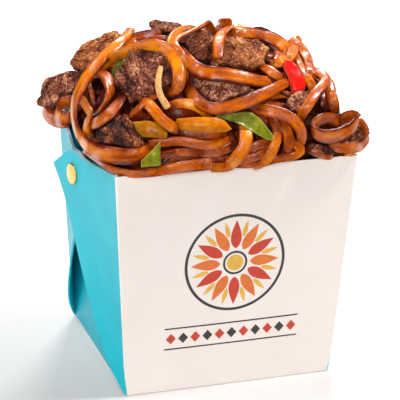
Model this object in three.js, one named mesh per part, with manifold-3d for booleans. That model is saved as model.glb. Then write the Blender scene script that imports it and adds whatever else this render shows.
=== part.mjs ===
// Noodle takeaway box: an open folded card pail, heaped with broad soy-glazed noodles,
// seared beef slices, pepper strips and a sprout.
//
// Millimetres, +Z up. The origin is the middle of the pail's base, on its underside.
// The printed front panel faces -Y, and the two sides with the studs face -X and +X.

import * as THREE from 'three';
import { mergeVertices } from 'three/addons/utils/BufferGeometryUtils.js';
import { ParametricGeometry } from 'three/addons/geometries/ParametricGeometry.js';
import Module from 'manifold-3d';

const wasm = await Module();
wasm.setup();

// ---------------------------------------------------------------- driving dimensions

// The pail: a litre box of one folded sheet, a little wider at the rim than at the base.
const RIM_WIDE = 108;
const RIM_DEEP = 94;
const BASE_WIDE = 94.5;
const BASE_DEEP = 87;
const HEIGHT = 105;
const BOARD = 0.6;

// The corner webs: each is folded flat round its corner and lies against the side.
const WEB_SLOPE = 1.32;          // rise over run of the free fold
const WEB_KINK = [31.9, 100.6];  // along the side from the corner, and height
const WEB_SHOULDER = [51.6, 100.7];
const WEB_TIP = [66.8, 89];
const WEB_STAND = 8.2;           // how far the free fold stands off the side
const WEB_STAND_RISE = 18;       // height over which it gets there
const WEB_STAND_POWER = 1.35;
const WEB_FLARE = 2.4;           // how much further its top stands off
const WEB_FLARE_FROM = 66;       // from this height
const WEB_FLARE_RISE = 23;       // over this rise
const WEB_THICK = 1.1;           // two boards
const WEB_LAP = 1.4;             // the rear web lies this far under the front one

// The round brass studs that pin the webs to each side.
const STUD_ALONG = 47.6;
const STUD_HEIGHT = 90;
const STUD_RADIUS = 4.7;
const STUD_CROWN = 1;
const STUD_SHANK = 1.4;
const STUD_REACH = 7.9;          // its shank ends inside the side's board

// The heap: a rounded mound on the rim, its middle a little above the rim.
const MOUND_CENTRE = new THREE.Vector3(-1, 0, HEIGHT + 6);
const MOUND_HALF_WIDE = 54;
const MOUND_HALF_DEEP = 46.5;
const MOUND_UP = 34;
const MOUND_DOWN = 30;
const MOUND_SQUARE = 6;          // 2 is round in plan, more is squarer
const MOUND_ROUND = 2.1;         // the same from the side
const FILL_DEPTH = 8;            // the packed noodles end this far under the rim at the walls
const FILL_PLAY = 1;             // and this far from them

const GAP = 0.35;                // between pieces that touch
const NOODLE_FLAT = 0.52;        // thickness of a noodle over its width
const NOODLE_STEP = 7.8;         // length of one facet along a noodle
const NOODLE_CORNER = 0.66;      // its corners, as a share of its width and thickness from the middle

// The serving side: pieces are placed as they show from a viewpoint in front of the box,
// by millimetres across and up on a plane through the box, and a height over the mound.
const VIEW_TURN = THREE.MathUtils.degToRad(-19.2);
const VIEW_RISE = THREE.MathUtils.degToRad(21.6);
const VIEW_ROLL = THREE.MathUtils.degToRad(1.75);
const VIEW_DISTANCE = 900;
const VIEW_ACROSS = -0.9;
const VIEW_UP = 66.4;

// ---------------------------------------------------------------- materials

function material(color, roughness, metalness = 0) {
  return new THREE.MeshStandardMaterial({ color, roughness, metalness });
}

const CARD = material('#f1e8e1', 0.55);
const BRASS = material('#e9c069', 0.3, 1);
const NOODLE = material('#b5560f', 0.3);
const BEEF = material('#6b4030', 0.55);
const RED = material('#e01c14', 0.25);
const YELLOW = material('#dd960f', 0.3);
const GREEN = material('#86a322', 0.35);
const SPROUT = material('#e0b878', 0.4);

// ---------------------------------------------------------------- solids

// A closed geometry as a manifold solid, with its faces turned outwards.
function solidOf(geometry) {
  const bare = geometry.clone();
  bare.deleteAttribute('normal');
  bare.deleteAttribute('uv');
  const merged = mergeVertices(bare, 1e-4);
  const index = merged.index.array;
  const points = merged.attributes.position;
  const triVerts = [];
  let volume = 0;
  const corner = [new THREE.Vector3(), new THREE.Vector3(), new THREE.Vector3()];
  for (let i = 0; i < index.length; i += 3) {
    const [a, b, c] = [index[i], index[i + 1], index[i + 2]];
    if (a === b || b === c || c === a) continue;
    triVerts.push(a, b, c);
    corner.forEach((p, k) => p.fromBufferAttribute(points, index[i + k]));
    volume += corner[0].dot(corner[1].cross(corner[2]));
  }
  if (volume < 0) triVerts.reverse();
  const vertProperties = Float32Array.from(points.array);
  return new wasm.Manifold(new wasm.Mesh({
    numProp: 3,
    vertProperties,
    triVerts: Uint32Array.from(triVerts),
  }));
}

function geometryOf(solid) {
  const mesh = solid.getMesh();
  const geometry = new THREE.BufferGeometry();
  geometry.setAttribute('position', new THREE.BufferAttribute(Float32Array.from(mesh.vertProperties), 3));
  geometry.setIndex(Array.from(mesh.triVerts));
  geometry.computeVertexNormals();
  return geometry;
}

// The largest connected piece of a solid: what is cut loose from it is dropped.
function largest(solid) {
  return solid.decompose().reduce((best, next) => (next.volume() > best.volume() ? next : best));
}

// The same after rounding to 32-bit numbers, which can part what hangs by a hair.
function largestRounded(solid) {
  return largest(solidOf(geometryOf(largest(solid))));
}

// A thin plate between two faces given over the unit square, closed round its edge.
function plate(columns, rows, outer, inner) {
  const points = [];
  const index = [];
  const stride = (columns + 1) * (rows + 1);
  for (const face of [outer, inner]) {
    for (let j = 0; j <= rows; j += 1) {
      for (let i = 0; i <= columns; i += 1) {
        points.push(...face(i / columns, j / rows).toArray());
      }
    }
  }
  const quad = (a, b, c, d) => index.push(a, b, c, a, c, d);
  const at = (i, j) => j * (columns + 1) + i;
  for (let j = 0; j < rows; j += 1) {
    for (let i = 0; i < columns; i += 1) {
      const [a, b, c, d] = [at(i, j), at(i + 1, j), at(i + 1, j + 1), at(i, j + 1)];
      quad(a, b, c, d);
      quad(stride + d, stride + c, stride + b, stride + a);
    }
  }
  const edge = (a, b) => quad(b, a, stride + a, stride + b);
  for (let i = 0; i < columns; i += 1) {
    edge(at(i, 0), at(i + 1, 0));
    edge(at(i + 1, rows), at(i, rows));
  }
  for (let j = 0; j < rows; j += 1) {
    edge(at(columns, j), at(columns, j + 1));
    edge(at(0, j + 1), at(0, j));
  }
  const geometry = new THREE.BufferGeometry();
  geometry.setAttribute('position', new THREE.Float32BufferAttribute(points, 3));
  geometry.setIndex(index);
  return solidOf(geometry);
}

// ---------------------------------------------------------------- the pail

function halfWide(z) {
  return THREE.MathUtils.lerp(BASE_WIDE, RIM_WIDE, z / HEIGHT) / 2;
}

function halfDeep(z) {
  return THREE.MathUtils.lerp(BASE_DEEP, RIM_DEEP, z / HEIGHT) / 2;
}

const SIDE_LEAN = Math.atan((RIM_WIDE - BASE_WIDE) / 2 / HEIGHT);

// The pail's tapered block between two heights, its walls moved in by `inset`.
function taperedBlock(inset, low, high) {
  const geometry = new THREE.BoxGeometry(2, 2, 2);
  const points = geometry.attributes.position;
  for (let i = 0; i < points.count; i += 1) {
    const z = points.getZ(i) > 0 ? high : low;
    points.setXYZ(i, points.getX(i) * (halfWide(z) - inset), points.getY(i) * (halfDeep(z) - inset), z);
  }
  return solidOf(geometry);
}

// A point on the left side panel: its distance back from the front edge, its height,
// and how far it stands off the panel.
function onSide(along, z, off) {
  return new THREE.Vector3(
    -halfWide(z) - off * Math.cos(SIDE_LEAN),
    along - halfDeep(z),
    z - off * Math.sin(SIDE_LEAN),
  );
}

// How far a web stands off the side: nothing at its corner, most at its free fold.
function standOff(fromCorner, z) {
  const fold = Math.max(z, 1) / WEB_SLOPE;
  const flare = WEB_FLARE * THREE.MathUtils.clamp((z - WEB_FLARE_FROM) / WEB_FLARE_RISE, 0, 1) ** 2;
  const atFold = WEB_STAND * (1 - Math.exp(-z / WEB_STAND_RISE)) + flare;
  return atFold * Math.min(fromCorner / fold, 1) ** WEB_STAND_POWER;
}

// The rear web does the same from its own corner, but the front web holds it down.
function standOffRear(fromCorner, z) {
  const fromFront = 2 * halfDeep(z) - fromCorner;
  const pastFold = Math.max(fromFront - z / WEB_SLOPE, 0);
  const held = standOff(fromFront, z) - WEB_LAP + 0.6 * pastFold;
  return Math.min(standOff(fromCorner, z), held);
}

// One corner web: rays from the bottom corner out to the top edge, the shoulder and the tip.
const WEB_EDGE = [[0, HEIGHT], [WEB_KINK[0] / 2, (HEIGHT + WEB_KINK[1]) / 2], WEB_KINK, WEB_SHOULDER, WEB_TIP];
const WEB_ROWS = 6;
const WEB_START = 0.02;          // a web starts this share of the way up its corner
const WEB_TAPER = 0.15;          // and has its full thickness this share of the way up

function cornerWeb(rear) {
  const last = WEB_EDGE.length - 1;
  const face = (side) => (u, v) => {
    const [along, z] = WEB_EDGE[Math.round(u * last)];
    const reach = THREE.MathUtils.lerp(WEB_START, 1, v);
    const stand = (rear ? standOffRear : standOff)(along * reach, z * reach);
    const fromFront = rear ? 2 * halfDeep(z * reach) - along * reach : along * reach;
    return onSide(fromFront, z * reach, stand + side * Math.min(1, reach / WEB_TAPER));
  };
  const outer = face(WEB_THICK - 0.2);
  const inner = face(-0.2);
  return rear ? plate(last, WEB_ROWS, inner, outer) : plate(last, WEB_ROWS, outer, inner);
}

// The stud's place on the front web, and the way it faces.
function studFrame() {
  const at = (along, z) => onSide(along, z, standOff(along, z) + WEB_THICK - 0.2);
  const seat = at(STUD_ALONG, STUD_HEIGHT);
  const back = at(STUD_ALONG + 1, STUD_HEIGHT).sub(seat);
  const up = at(STUD_ALONG, STUD_HEIGHT + 1).sub(seat);
  const out = new THREE.Vector3().crossVectors(up, back).normalize();
  if (out.x > 0) out.negate();
  return { seat, out };
}

// A profile of [radius, height] turned about the stud's axis, with height 0 on the web.
function turnedAtStud(profile, sides) {
  const { seat, out } = studFrame();
  const geometry = new THREE.LatheGeometry(profile.map(([r, h]) => new THREE.Vector2(r, h)), sides);
  geometry.applyQuaternion(new THREE.Quaternion().setFromUnitVectors(new THREE.Vector3(0, 1, 0), out));
  geometry.translate(seat.x, seat.y, seat.z);
  return solidOf(geometry);
}

// A domed disc with a shank that runs in through the webs and the side.
function studSolid() {
  const under = GAP;
  return turnedAtStud([
    [0, -STUD_REACH], [STUD_SHANK, -STUD_REACH], [STUD_SHANK, under],
    [STUD_RADIUS, under], [STUD_RADIUS, under + STUD_CROWN / 3],
    [STUD_RADIUS * 0.75, under + STUD_CROWN * 0.85], [0, under + STUD_CROWN],
  ], 16);
}

function studBore() {
  const ends = [-STUD_REACH - 3, STUD_CROWN];
  const radius = STUD_SHANK + GAP;
  return turnedAtStud([[0, ends[0]], [radius, ends[0]], [radius, ends[1]], [0, ends[1]]], 10);
}

function cartonSolid() {
  const shell = taperedBlock(0, 0, HEIGHT).subtract(taperedBlock(BOARD, BOARD, HEIGHT + 5));
  const webs = cornerWeb(false).add(cornerWeb(true));
  const body = shell.add(webs).add(webs.mirror([1, 0, 0]));
  return body.subtract(studBore()).subtract(studBore().mirror([1, 0, 0]));
}

// What keeps the food clear of the pail: its walls, a gap thicker all round.
function pailKeepOut() {
  const outer = taperedBlock(-GAP, -5, HEIGHT + GAP);
  return outer.subtract(taperedBlock(BOARD + GAP, BOARD + GAP, HEIGHT + 5));
}

// ---------------------------------------------------------------- the mound

// How far the mound reaches from its centre in a direction.
function moundReach(direction) {
  const x = Math.abs(direction.x) / MOUND_HALF_WIDE;
  const y = Math.abs(direction.y) / MOUND_HALF_DEEP;
  const z = Math.abs(direction.z) / (direction.z > 0 ? MOUND_UP : MOUND_DOWN);
  const flat = (x ** MOUND_SQUARE + y ** MOUND_SQUARE) ** (1 / MOUND_SQUARE);
  return 1 / (flat ** MOUND_ROUND + z ** MOUND_ROUND) ** (1 / MOUND_ROUND);
}

// The height of a point over the mound, measured from its centre outwards.
function overMound(point) {
  const ray = point.clone().sub(MOUND_CENTRE);
  const distance = ray.length();
  return distance - moundReach(ray.divideScalar(distance));
}

function outward(point) {
  const slope = new THREE.Vector3();
  for (const axis of ['x', 'y', 'z']) {
    const ahead = point.clone();
    ahead[axis] += 0.5;
    slope[axis] = overMound(ahead) - overMound(point);
  }
  return slope.normalize();
}

const VIEW_BACK = new THREE.Vector3(
  Math.sin(VIEW_TURN) * Math.cos(VIEW_RISE),
  -Math.cos(VIEW_TURN) * Math.cos(VIEW_RISE),
  Math.sin(VIEW_RISE),
);
const LEVEL_RIGHT = new THREE.Vector3(Math.cos(VIEW_TURN), Math.sin(VIEW_TURN), 0);
const LEVEL_UP = new THREE.Vector3().crossVectors(VIEW_BACK, LEVEL_RIGHT);
const VIEW_RIGHT = LEVEL_RIGHT.clone().applyAxisAngle(VIEW_BACK, VIEW_ROLL);
const VIEW_TOP = LEVEL_UP.clone().applyAxisAngle(VIEW_BACK, VIEW_ROLL);
const EYE = LEVEL_RIGHT.clone().multiplyScalar(VIEW_ACROSS)
  .addScaledVector(LEVEL_UP, VIEW_UP)
  .addScaledVector(VIEW_BACK, VIEW_DISTANCE);

function sight(across, rise) {
  return VIEW_BACK.clone().multiplyScalar(-VIEW_DISTANCE)
    .addScaledVector(VIEW_RIGHT, across)
    .addScaledVector(VIEW_TOP, rise)
    .normalize();
}

// A point low enough to meet the walls has to be inside them.
function meetsWall(point) {
  const room = BOARD + 3;
  const low = point.z < HEIGHT + 2;
  const outside = Math.abs(point.x) > halfWide(point.z) - room || Math.abs(point.y) > halfDeep(point.z) - room;
  return low && outside;
}

// Where a line of sight first comes within `lift` of the mound, or passes it nearest.
function onMound(across, rise, lift) {
  const ray = sight(across, rise);
  let best = null;
  let nearest = Infinity;
  for (let t = VIEW_DISTANCE - 130; t < VIEW_DISTANCE + 110; t += 1) {
    const point = EYE.clone().addScaledVector(ray, t);
    const height = Math.abs(overMound(point) - lift) < 0.8 ? 0 : Math.max(overMound(point) - lift, 0);
    if (height < nearest && !meetsWall(point)) {
      nearest = height;
      best = point;
    }
    if (nearest === 0) break;
  }
  return best;
}

// ---------------------------------------------------------------- seeded draws

// A linear congruential generator, so that every build draws the same numbers.
function draws(seed) {
  let state = seed >>> 0;
  return () => {
    state = (Math.imul(state, 1664525) + 1013904223) >>> 0;
    return state / 4294967296;
  };
}

// ---------------------------------------------------------------- noodles

// A flat four-sided noodle along a curve. Its broad face looks outwards from the mound
// and a little to the serving side, turned about the curve by its roll in degrees.
function noodleSolid(points, rolls, wide, thick, turnToView = 0.6) {
  const curve = new THREE.CatmullRomCurve3(points, false, 'centripetal');
  const steps = Math.max(6, Math.round(curve.getLength() / NOODLE_STEP) + 3);
  const rollAt = (t) => {
    const place = t * (rolls.length - 1);
    const i = Math.min(Math.floor(place), rolls.length - 2);
    return THREE.MathUtils.degToRad(THREE.MathUtils.lerp(rolls[i], rolls[i + 1], place - i));
  };
  const section = (around, along, target) => {
    const t = THREE.MathUtils.clamp((along * steps - 1) / (steps - 2), 0, 1);
    const pole = along < 0.5 / steps || along > 1 - 0.5 / steps;
    const centre = curve.getPoint(t);
    const tangent = curve.getTangent(t);
    const face = outward(centre).addScaledVector(VIEW_BACK, turnToView).normalize();
    const edge = new THREE.Vector3().crossVectors(tangent, face).normalize();
    const flat = new THREE.Vector3().crossVectors(edge, tangent);
    edge.applyAxisAngle(tangent, rollAt(t));
    flat.applyAxisAngle(tangent, rollAt(t));
    const angle = (around + 1 / 8) * 2 * Math.PI;
    const size = pole ? 0 : NOODLE_CORNER;
    target.copy(centre)
      .addScaledVector(edge, size * Math.cos(angle) * wide)
      .addScaledVector(flat, size * Math.sin(angle) * thick);
  };
  return solidOf(new ParametricGeometry(section, 4, steps));
}

// The noodles that show from the serving side: width, then each bend as
// [across, rise, height over the mound, roll].
const LAID_NOODLES = {
  sweep_left: [7.4, [[-34, 78, 7, 0], [-45, 68, 8, 5], [-54, 56, 9, 20], [-58, 47, 9, 55], [-58, 38, 8, 75],
    [-54, 28, 6, 45], [-46, 22, 5, 20], [-35, 21, 4, 10], [-24, 24, 3, 0], [-16, 28, -2, 0]]],
  over_slice: [6.8, [[-50, 55, -1, 50], [-41, 65, 7, 50], [-31, 70, 10, 45], [-22, 71, 11, 30], [-15, 67, 11, 10],
    [-11, 60, 10, 5], [-11, 54, 7, 10], [-17, 49, -2, 20]]],
  left_loop: [6.5, [[-47, 59, 2, 30], [-43, 55, 7, 10], [-42, 49, 7, 10], [-45, 43, 5, 20], [-51, 38, -2, 30]]],
  left_loop_inner: [5, [[-44, 60, 1, 60], [-48, 54, 4, 70], [-49, 47, 4, 70], [-48, 40, -2, 50]]],
  left_band: [6.4, [[-37, 49, -2, 20], [-40, 43, 5, 10], [-45, 38, 6, 0], [-52, 35, 3, 10]]],
  rim_band_left: [7, [[-74, 48, 0, 60], [-73, 42, 6, 40], [-67, 37, 8, 20], [-62, 37, 7, 30], [-58, 43, -2, 50]]],
  rim_ring_left: [6, [[-57, 49, -2, 60], [-62, 48, 6, 70], [-66, 44, 8, 60], [-65, 40, 8, 50], [-60, 38, -1, 40]]],
  crown_twist: [5.5, [[6, 76, -2, 60], [4, 82, 7, 70], [-3, 79, 8, 50], [-9, 74, 8, 10], [-10, 69, 7, 0], [-7, 64, -2, 40]]],
  short_end: [6, [[17, 81, -2, 60], [12, 79, 7, 30], [9, 74, 9, 0], [10, 67, 9, 0]]],
  crown_right: [6.2, [[15, 74, -2, 0], [21, 76, 3, 10], [30, 77, 4, 20], [38, 74, 4, 30], [45, 69, -2, 20]]],
  crown_turn: [6, [[40, 76, -1, 10], [44, 72, 6, 0], [43, 66, 5, 30], [40, 63, -2, 30]]],
  right_shoulder: [5.5, [[44, 72, -2, 30], [48, 66, 4, 20], [51, 60, 4, 20], [51, 52, -2, 10]]],
  front_arch: [6.8, [[-7, 70, -2, 40], [-4, 64, 7, 20], [3, 61, 8, 10], [12, 60, 8, 0], [21, 58, 8, 0], [32, 55, 3, 10]]],
  front_cradle: [6.6, [[-4, 60, -2, 60], [-5, 52, 4, 40], [-1, 47, 6, 20], [7, 44, 7, 10], [18, 45, 8, 10],
    [29, 50, 8, 0], [39, 55, 5, 0]]],
  pepper_side: [5.5, [[30, 61, -1, 20], [36, 64, 5, 10], [42, 68, 2, 10]]],
  right_wrinkle: [6, [[51, 59, -2, 30], [57, 59, 4, 40], [58, 55, 5, 30], [54, 49, 6, 10], [49, 44, 6, 0], [45, 38, -2, 10]]],
  right_edge: [5.5, [[57, 58, 0, 40], [60, 51, 4, 30], [62, 45, 4, 30], [63, 39, -2, 20]]],
  vee_right: [6, [[-26, 49, -1, 20], [-22, 42, 6, 10], [-17, 37, 6, 5], [-10, 30, -1, 0]]],
  mid_arch: [5.5, [[-18, 39, -2, 30], [-11, 43, 5, 20], [-4, 43, 5, 10], [3, 40, 4, 10], [7, 34, -2, 10]]],
  lower_top: [6, [[-29, 26, -1, 20], [-21, 28, 3, 10], [-11, 27, 4, 10], [-1, 25, 4, 10], [9, 26, 4, 10], [19, 31, -2, 0]]],
  lower_mid: [6, [[-24, 20, -2, 10], [-13, 21, 3, 10], [-2, 21, 4, 10], [7, 22, 4, 10], [17, 26, -2, 0]]],
  rim_front: [6.6, [[-51, 24, -1, 50], [-45, 19, 3, 30], [-38, 14, 4, 20], [-28, 14, 4, 10], [-17, 14, 4, 5],
    [-6, 16, 4, 0], [5, 19, 3, 0]]],
  drop_front: [6.8, [[20, 36, -2, 10], [21, 29, 6, 0], [20, 23, 7, 0], [16, 19, 5, 0], [7, 16, -1, 10]]],
  right_hook: [6.6, [[23, 40, -2, 10], [32, 41, 6, 5], [40, 38, 7, 0], [45, 33, 8, 10], [46, 28, 6, 20], [44, 21, -1, 20]]],
  hook_inner: [5.8, [[29, 39, -2, 10], [34, 34, 4, 0], [35, 28, 5, 10], [32, 21, 5, 10], [26, 16, -1, 10]]],
  hook_middle: [6, [[38, 37, -1, 10], [42, 30, 5, 0], [43, 24, 5, 10], [39, 19, -1, 10]]],
  right_ring: [6.4, [[65, 33, -1, 70], [66, 38, 5, 60], [70, 42, 8, 40], [74, 41, 9, 30], [73, 35, 9, 20], [68, 31, 8, 10],
    [61, 29, 7, 10], [54, 30, 6, 20], [51, 35, 6, 40], [54, 40, 5, 55], [60, 42, 5, 50], [66, 39, 5, 40]]],
  right_outer: [6.4, [[56, 28, -2, 10], [63, 25, 5, 10], [70, 24, 8, 10], [75, 26, 8, 20], [78, 30, 7, 40], [76, 35, 4, 60]]],
  right_low: [5.6, [[47, 23, -1, 10], [53, 21, 2, 0], [61, 20, 3, 0], [69, 22, -1, 10]]],
};

function laidNoodle([wide, bends]) {
  const points = bends.map(([across, rise, lift]) => onMound(across, rise, lift));
  const rolls = bends.map((bend) => bend[3]);
  return noodleSolid(points, rolls, wide, wide * NOODLE_FLAT);
}

// A direction from the mound's centre: degrees round from +X, and degrees up.
function toward(compass, steepness) {
  const turn = THREE.MathUtils.degToRad(compass);
  const rise = THREE.MathUtils.degToRad(steepness);
  return new THREE.Vector3(Math.cos(turn) * Math.cos(rise), Math.sin(turn) * Math.cos(rise), Math.sin(rise));
}

function onMoundToward(compass, steepness, lift) {
  const direction = toward(compass, steepness);
  return MOUND_CENTRE.clone().addScaledVector(direction, moundReach(direction) + lift);
}

// The far side: tiers of noodles that run round the mound in waves, each as
// [degrees up, how many noodles follow one another].
const FAR_TIERS = [[4, 4], [19, 3], [34, 3], [52, 2]];
const FAR_START = -28;
const FAR_SPAN = 205;
const FAR_BENDS = 7;
const FAR_WIDE = 6.6;
const FAR_SEED = 41;

function farNoodle(steepness, start, span, random) {
  const tilt = 26 * (random() - 0.5);
  const wave = 3 + 5 * random();
  const phase = 7 * random();
  const lift = 1.5 + 3 * random();
  const points = [];
  for (let i = 0; i < FAR_BENDS; i += 1) {
    const t = i / (FAR_BENDS - 1);
    const up = steepness + tilt * (t - 0.5) + wave * Math.sin(2 * Math.PI * t + phase);
    const height = THREE.MathUtils.lerp(-2, lift, Math.sin(Math.PI * t) ** 0.5);
    const point = onMoundToward(start + span * t, Math.max(up, -2), height);
    point.z = Math.max(point.z, HEIGHT + 3.5);
    points.push(point);
  }
  return noodleSolid(points, [20 * random(), 0, 20 * random()], FAR_WIDE, FAR_WIDE * NOODLE_FLAT, 0);
}

function farNoodles() {
  const random = draws(FAR_SEED);
  return FAR_TIERS.flatMap(([steepness, count]) => Array.from({ length: count }, (_, i) => {
    const share = FAR_SPAN / count;
    return farNoodle(steepness, FAR_START + share * i, share * (1.05 + 0.2 * random()), random);
  }));
}

const DOME_SIDES = 20;
const DOME_RINGS = 9;

// The mound's own core: noodles packed in the pail and a smooth dome that the rest lie on.
function coreSolid() {
  const dome = (around, upward, target) => {
    const compass = around * 2 * Math.PI;
    const steepness = (upward - 0.5) * Math.PI;
    const direction = new THREE.Vector3(
      Math.cos(compass) * Math.cos(steepness),
      Math.sin(compass) * Math.cos(steepness),
      Math.sin(steepness),
    );
    target.copy(MOUND_CENTRE).addScaledVector(direction, moundReach(direction));
  };
  const packed = taperedBlock(BOARD + FILL_PLAY, BOARD + GAP, HEIGHT - FILL_DEPTH);
  return packed.add(solidOf(new ParametricGeometry(dome, DOME_SIDES, DOME_RINGS)));
}

// ---------------------------------------------------------------- toppings

// Beef slices: place, half length and half width as they show, spin in degrees,
// height over the mound and thickness. The far ones are placed by their direction.
const SLICES = {
  beef_rear_left: { at: [-50, 69], half: [12.5, 6], spin: 32, lift: 4, thick: 4.5 },
  beef_left: { at: [-65, 51], half: [10, 7], spin: 20, lift: 5, thick: 6 },
  beef_low_left: { at: [-38, 30], half: [12, 6.3], spin: -14, lift: 2, thick: 6 },
  beef_large: { at: [-26, 58], half: [13.5, 13], spin: 20, lift: 4, thick: 6.5 },
  beef_top: { at: [-15, 80], half: [8.5, 2.6], spin: -6, lift: 2.5, thick: 4 },
  beef_crown: { at: [-1, 73], half: [7, 5.4], spin: 0, lift: 2, thick: 5 },
  beef_curl: { at: [19, 68], half: [14, 7], spin: -8, lift: 4, thick: 5 },
  beef_centre: { at: [10, 50], half: [12, 5.6], spin: -5, lift: 2.5, thick: 5.5 },
  beef_right: { at: [45, 45], half: [7, 4.4], spin: 35, lift: 3, thick: 5 },
  beef_in_ring: { at: [74, 31], half: [5.6, 3.8], spin: 35, lift: 3, thick: 4.5 },
  beef_low_right: { at: [56, 24], half: [8, 2.8], spin: -6, lift: 1, thick: 4.5 },
  beef_far_right: { toward: [12, 30], half: [12, 8], spin: 20, lift: 2.5, thick: 5 },
  beef_far_back: { toward: [92, 30], half: [12, 8], spin: -25, lift: 2.5, thick: 5.5 },
  beef_far_corner: { toward: [128, 16], half: [10, 7], spin: 35, lift: 3, thick: 5 },
};

// How a slice swells from the middle of its top face, over its edge, to the middle below:
// [how far out, how high], as shares of its half width and half thickness.
const SLICE_ROUND = [[0, 1], [0.55, 0.95], [0.9, 0.7], [1, 0], [0.9, -0.7], [0.55, -0.95], [0, -1]];
const SLICE_SIDES = 12;

// The plane a slice lies in: its middle, the way it faces, and the vector on it that
// shows as so far across and so far up.
function slicePlane({ at, toward: direction, lift }) {
  if (direction) {
    const centre = onMoundToward(direction[0], direction[1], lift);
    const face = outward(centre);
    const across = new THREE.Vector3(0, 0, 1).cross(face).normalize();
    const rise = face.clone().cross(across);
    const spoke = (x, y) => across.clone().multiplyScalar(x).addScaledVector(rise, y);
    return { centre, face, spoke };
  }
  const centre = onMound(at[0], at[1], lift);
  const face = outward(centre).addScaledVector(VIEW_BACK, 1.1).normalize();
  const spoke = (x, y) => {
    const ray = sight(at[0] + x, at[1] + y);
    const reach = centre.clone().sub(EYE).dot(face) / ray.dot(face);
    return EYE.clone().addScaledVector(ray, reach).sub(centre);
  };
  return { centre, face, spoke };
}

function sliceSolid(slice, seed, grow) {
  const random = draws(seed);
  const waves = [2, 3, 5].map((order) => ({ order, size: 0.03 + 0.14 / order * random(), phase: 7 * random() }));
  const { centre, face, spoke } = slicePlane(slice);
  const { half, thick } = slice;
  const turn = THREE.MathUtils.degToRad(slice.spin);
  const outline = (angle) => {
    const ripple = waves.reduce((sum, w) => sum + w.size * Math.sin(w.order * angle + w.phase), 1);
    const x = Math.cos(angle) * half[0] * ripple;
    const y = Math.sin(angle) * half[1] * ripple;
    return spoke(x * Math.cos(turn) - y * Math.sin(turn), x * Math.sin(turn) + y * Math.cos(turn));
  };
  const skin = (around, through, target) => {
    const [out, high] = SLICE_ROUND[Math.round(through * (SLICE_ROUND.length - 1))];
    const edge = outline(around * 2 * Math.PI);
    const length = edge.length();
    const reach = out * (length + grow);
    const sag = 0.012 * reach * reach;
    target.copy(centre)
      .addScaledVector(edge, reach / length)
      .addScaledVector(face, high * (thick / 2 + grow) - sag);
  };
  return solidOf(new ParametricGeometry(skin, SLICE_SIDES, SLICE_ROUND.length - 1));
}

// Strips of pepper and a sprout: width, thickness, and each bend as [across, rise, height].
const STRIPS = {
  pepper_red: { paint: RED, wide: 6.2, thick: 3.2, along: [[41.2, 64.5, 5], [44.4, 58, 6], [46.2, 51.2, 4]] },
  pepper_yellow_left: { paint: YELLOW, wide: 6.2, thick: 3.4, along: [[-31, 34, 2.5], [-23, 34, 3], [-16, 32, 2]] },
  pepper_yellow: { paint: YELLOW, wide: 6.2, thick: 3.6, along: [[-12, 35, 3], [0, 35, 5], [10, 35, 5], [14, 34, 4]] },
  pepper_green_back: { paint: GREEN, wide: 4.8, thick: 2.6, along: [[-35, 65, 2.5], [-39, 61, 2.5], [-40, 57, 2]] },
  pepper_green_front: { paint: GREEN, wide: 7.6, thick: 2.6, along: [[-20, 25, 5], [-21, 20, 6], [-24, 14, 4]] },
  pepper_green_leaf: { paint: GREEN, wide: 6.2, thick: 2.8, along: [[8, 39, 3], [19, 38, 5], [27, 34, 6], [34, 28, 5]] },
  sprout: { paint: SPROUT, wide: 2.8, thick: 2.4, along: [[-19, 61, 9], [-20, 55, 9.5], [-19, 49, 7], [-15, 42, 1]] },
  pepper_red_far: { paint: RED, wide: 6.6, thick: 3.2, toward: [[50, 44, 3], [62, 40, 4.5], [72, 30, 3]] },
  pepper_green_far: { paint: GREEN, wide: 6, thick: 2.8, toward: [[122, 46, 3], [130, 38, 4.5], [138, 32, 3]] },
};

function stripSolid({ wide, thick, along, toward: directions }, grow) {
  const points = directions
    ? directions.map(([compass, steepness, lift]) => onMoundToward(compass, steepness, lift))
    : along.map(([across, rise, lift]) => onMound(across, rise, lift));
  const ahead = (a, b) => a.clone().sub(b).setLength(grow);
  if (grow > 0) {
    points[0].add(ahead(points[0], points[1]));
    points[points.length - 1].add(ahead(points[points.length - 1], points[points.length - 2]));
  }
  return noodleSolid(points, [0, 0], wide + 2 * grow, thick + 2 * grow, directions ? 0 : 1.2);
}

// ---------------------------------------------------------------- the box put together

const box = new THREE.Group();

function addPiece(name, solid, paint) {
  const mesh = new THREE.Mesh(geometryOf(solid), paint);
  mesh.name = name;
  box.add(mesh);
}

addPiece('carton', cartonSolid(), CARD);
addPiece('stud_left', studSolid(), BRASS);
addPiece('stud_right', studSolid().mirror([1, 0, 0]), BRASS);

// Each topping is cut clear of the pail and of the toppings laid before it.
let keepOut = pailKeepOut();

function addTopping(name, makeSolid, paint) {
  addPiece(name, largest(makeSolid(0).subtract(keepOut)), paint);
  keepOut = keepOut.add(makeSolid(GAP));
}

for (const [name, strip] of Object.entries(STRIPS)) {
  addTopping(name, (grow) => stripSolid(strip, grow), strip.paint);
}
Object.entries(SLICES).forEach(([name, slice], index) => {
  addTopping(name, (grow) => sliceSolid(slice, 11 + index, grow), BEEF);
});

const heap = wasm.Manifold.union([coreSolid(), ...Object.values(LAID_NOODLES).map(laidNoodle), ...farNoodles()]);
addPiece('noodles', largestRounded(heap.subtract(keepOut)), NOODLE);

export default box;
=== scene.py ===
"""Looks of the noodle takeaway box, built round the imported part.

Shapes are worked out in millimetres, in the part's own frame: +Z up, the printed front panel
faces -Y, and the origin is the middle of the pail's base. They go to Blender in metres.
"""

import bpy
import numpy as np
from mathutils import Matrix


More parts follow.
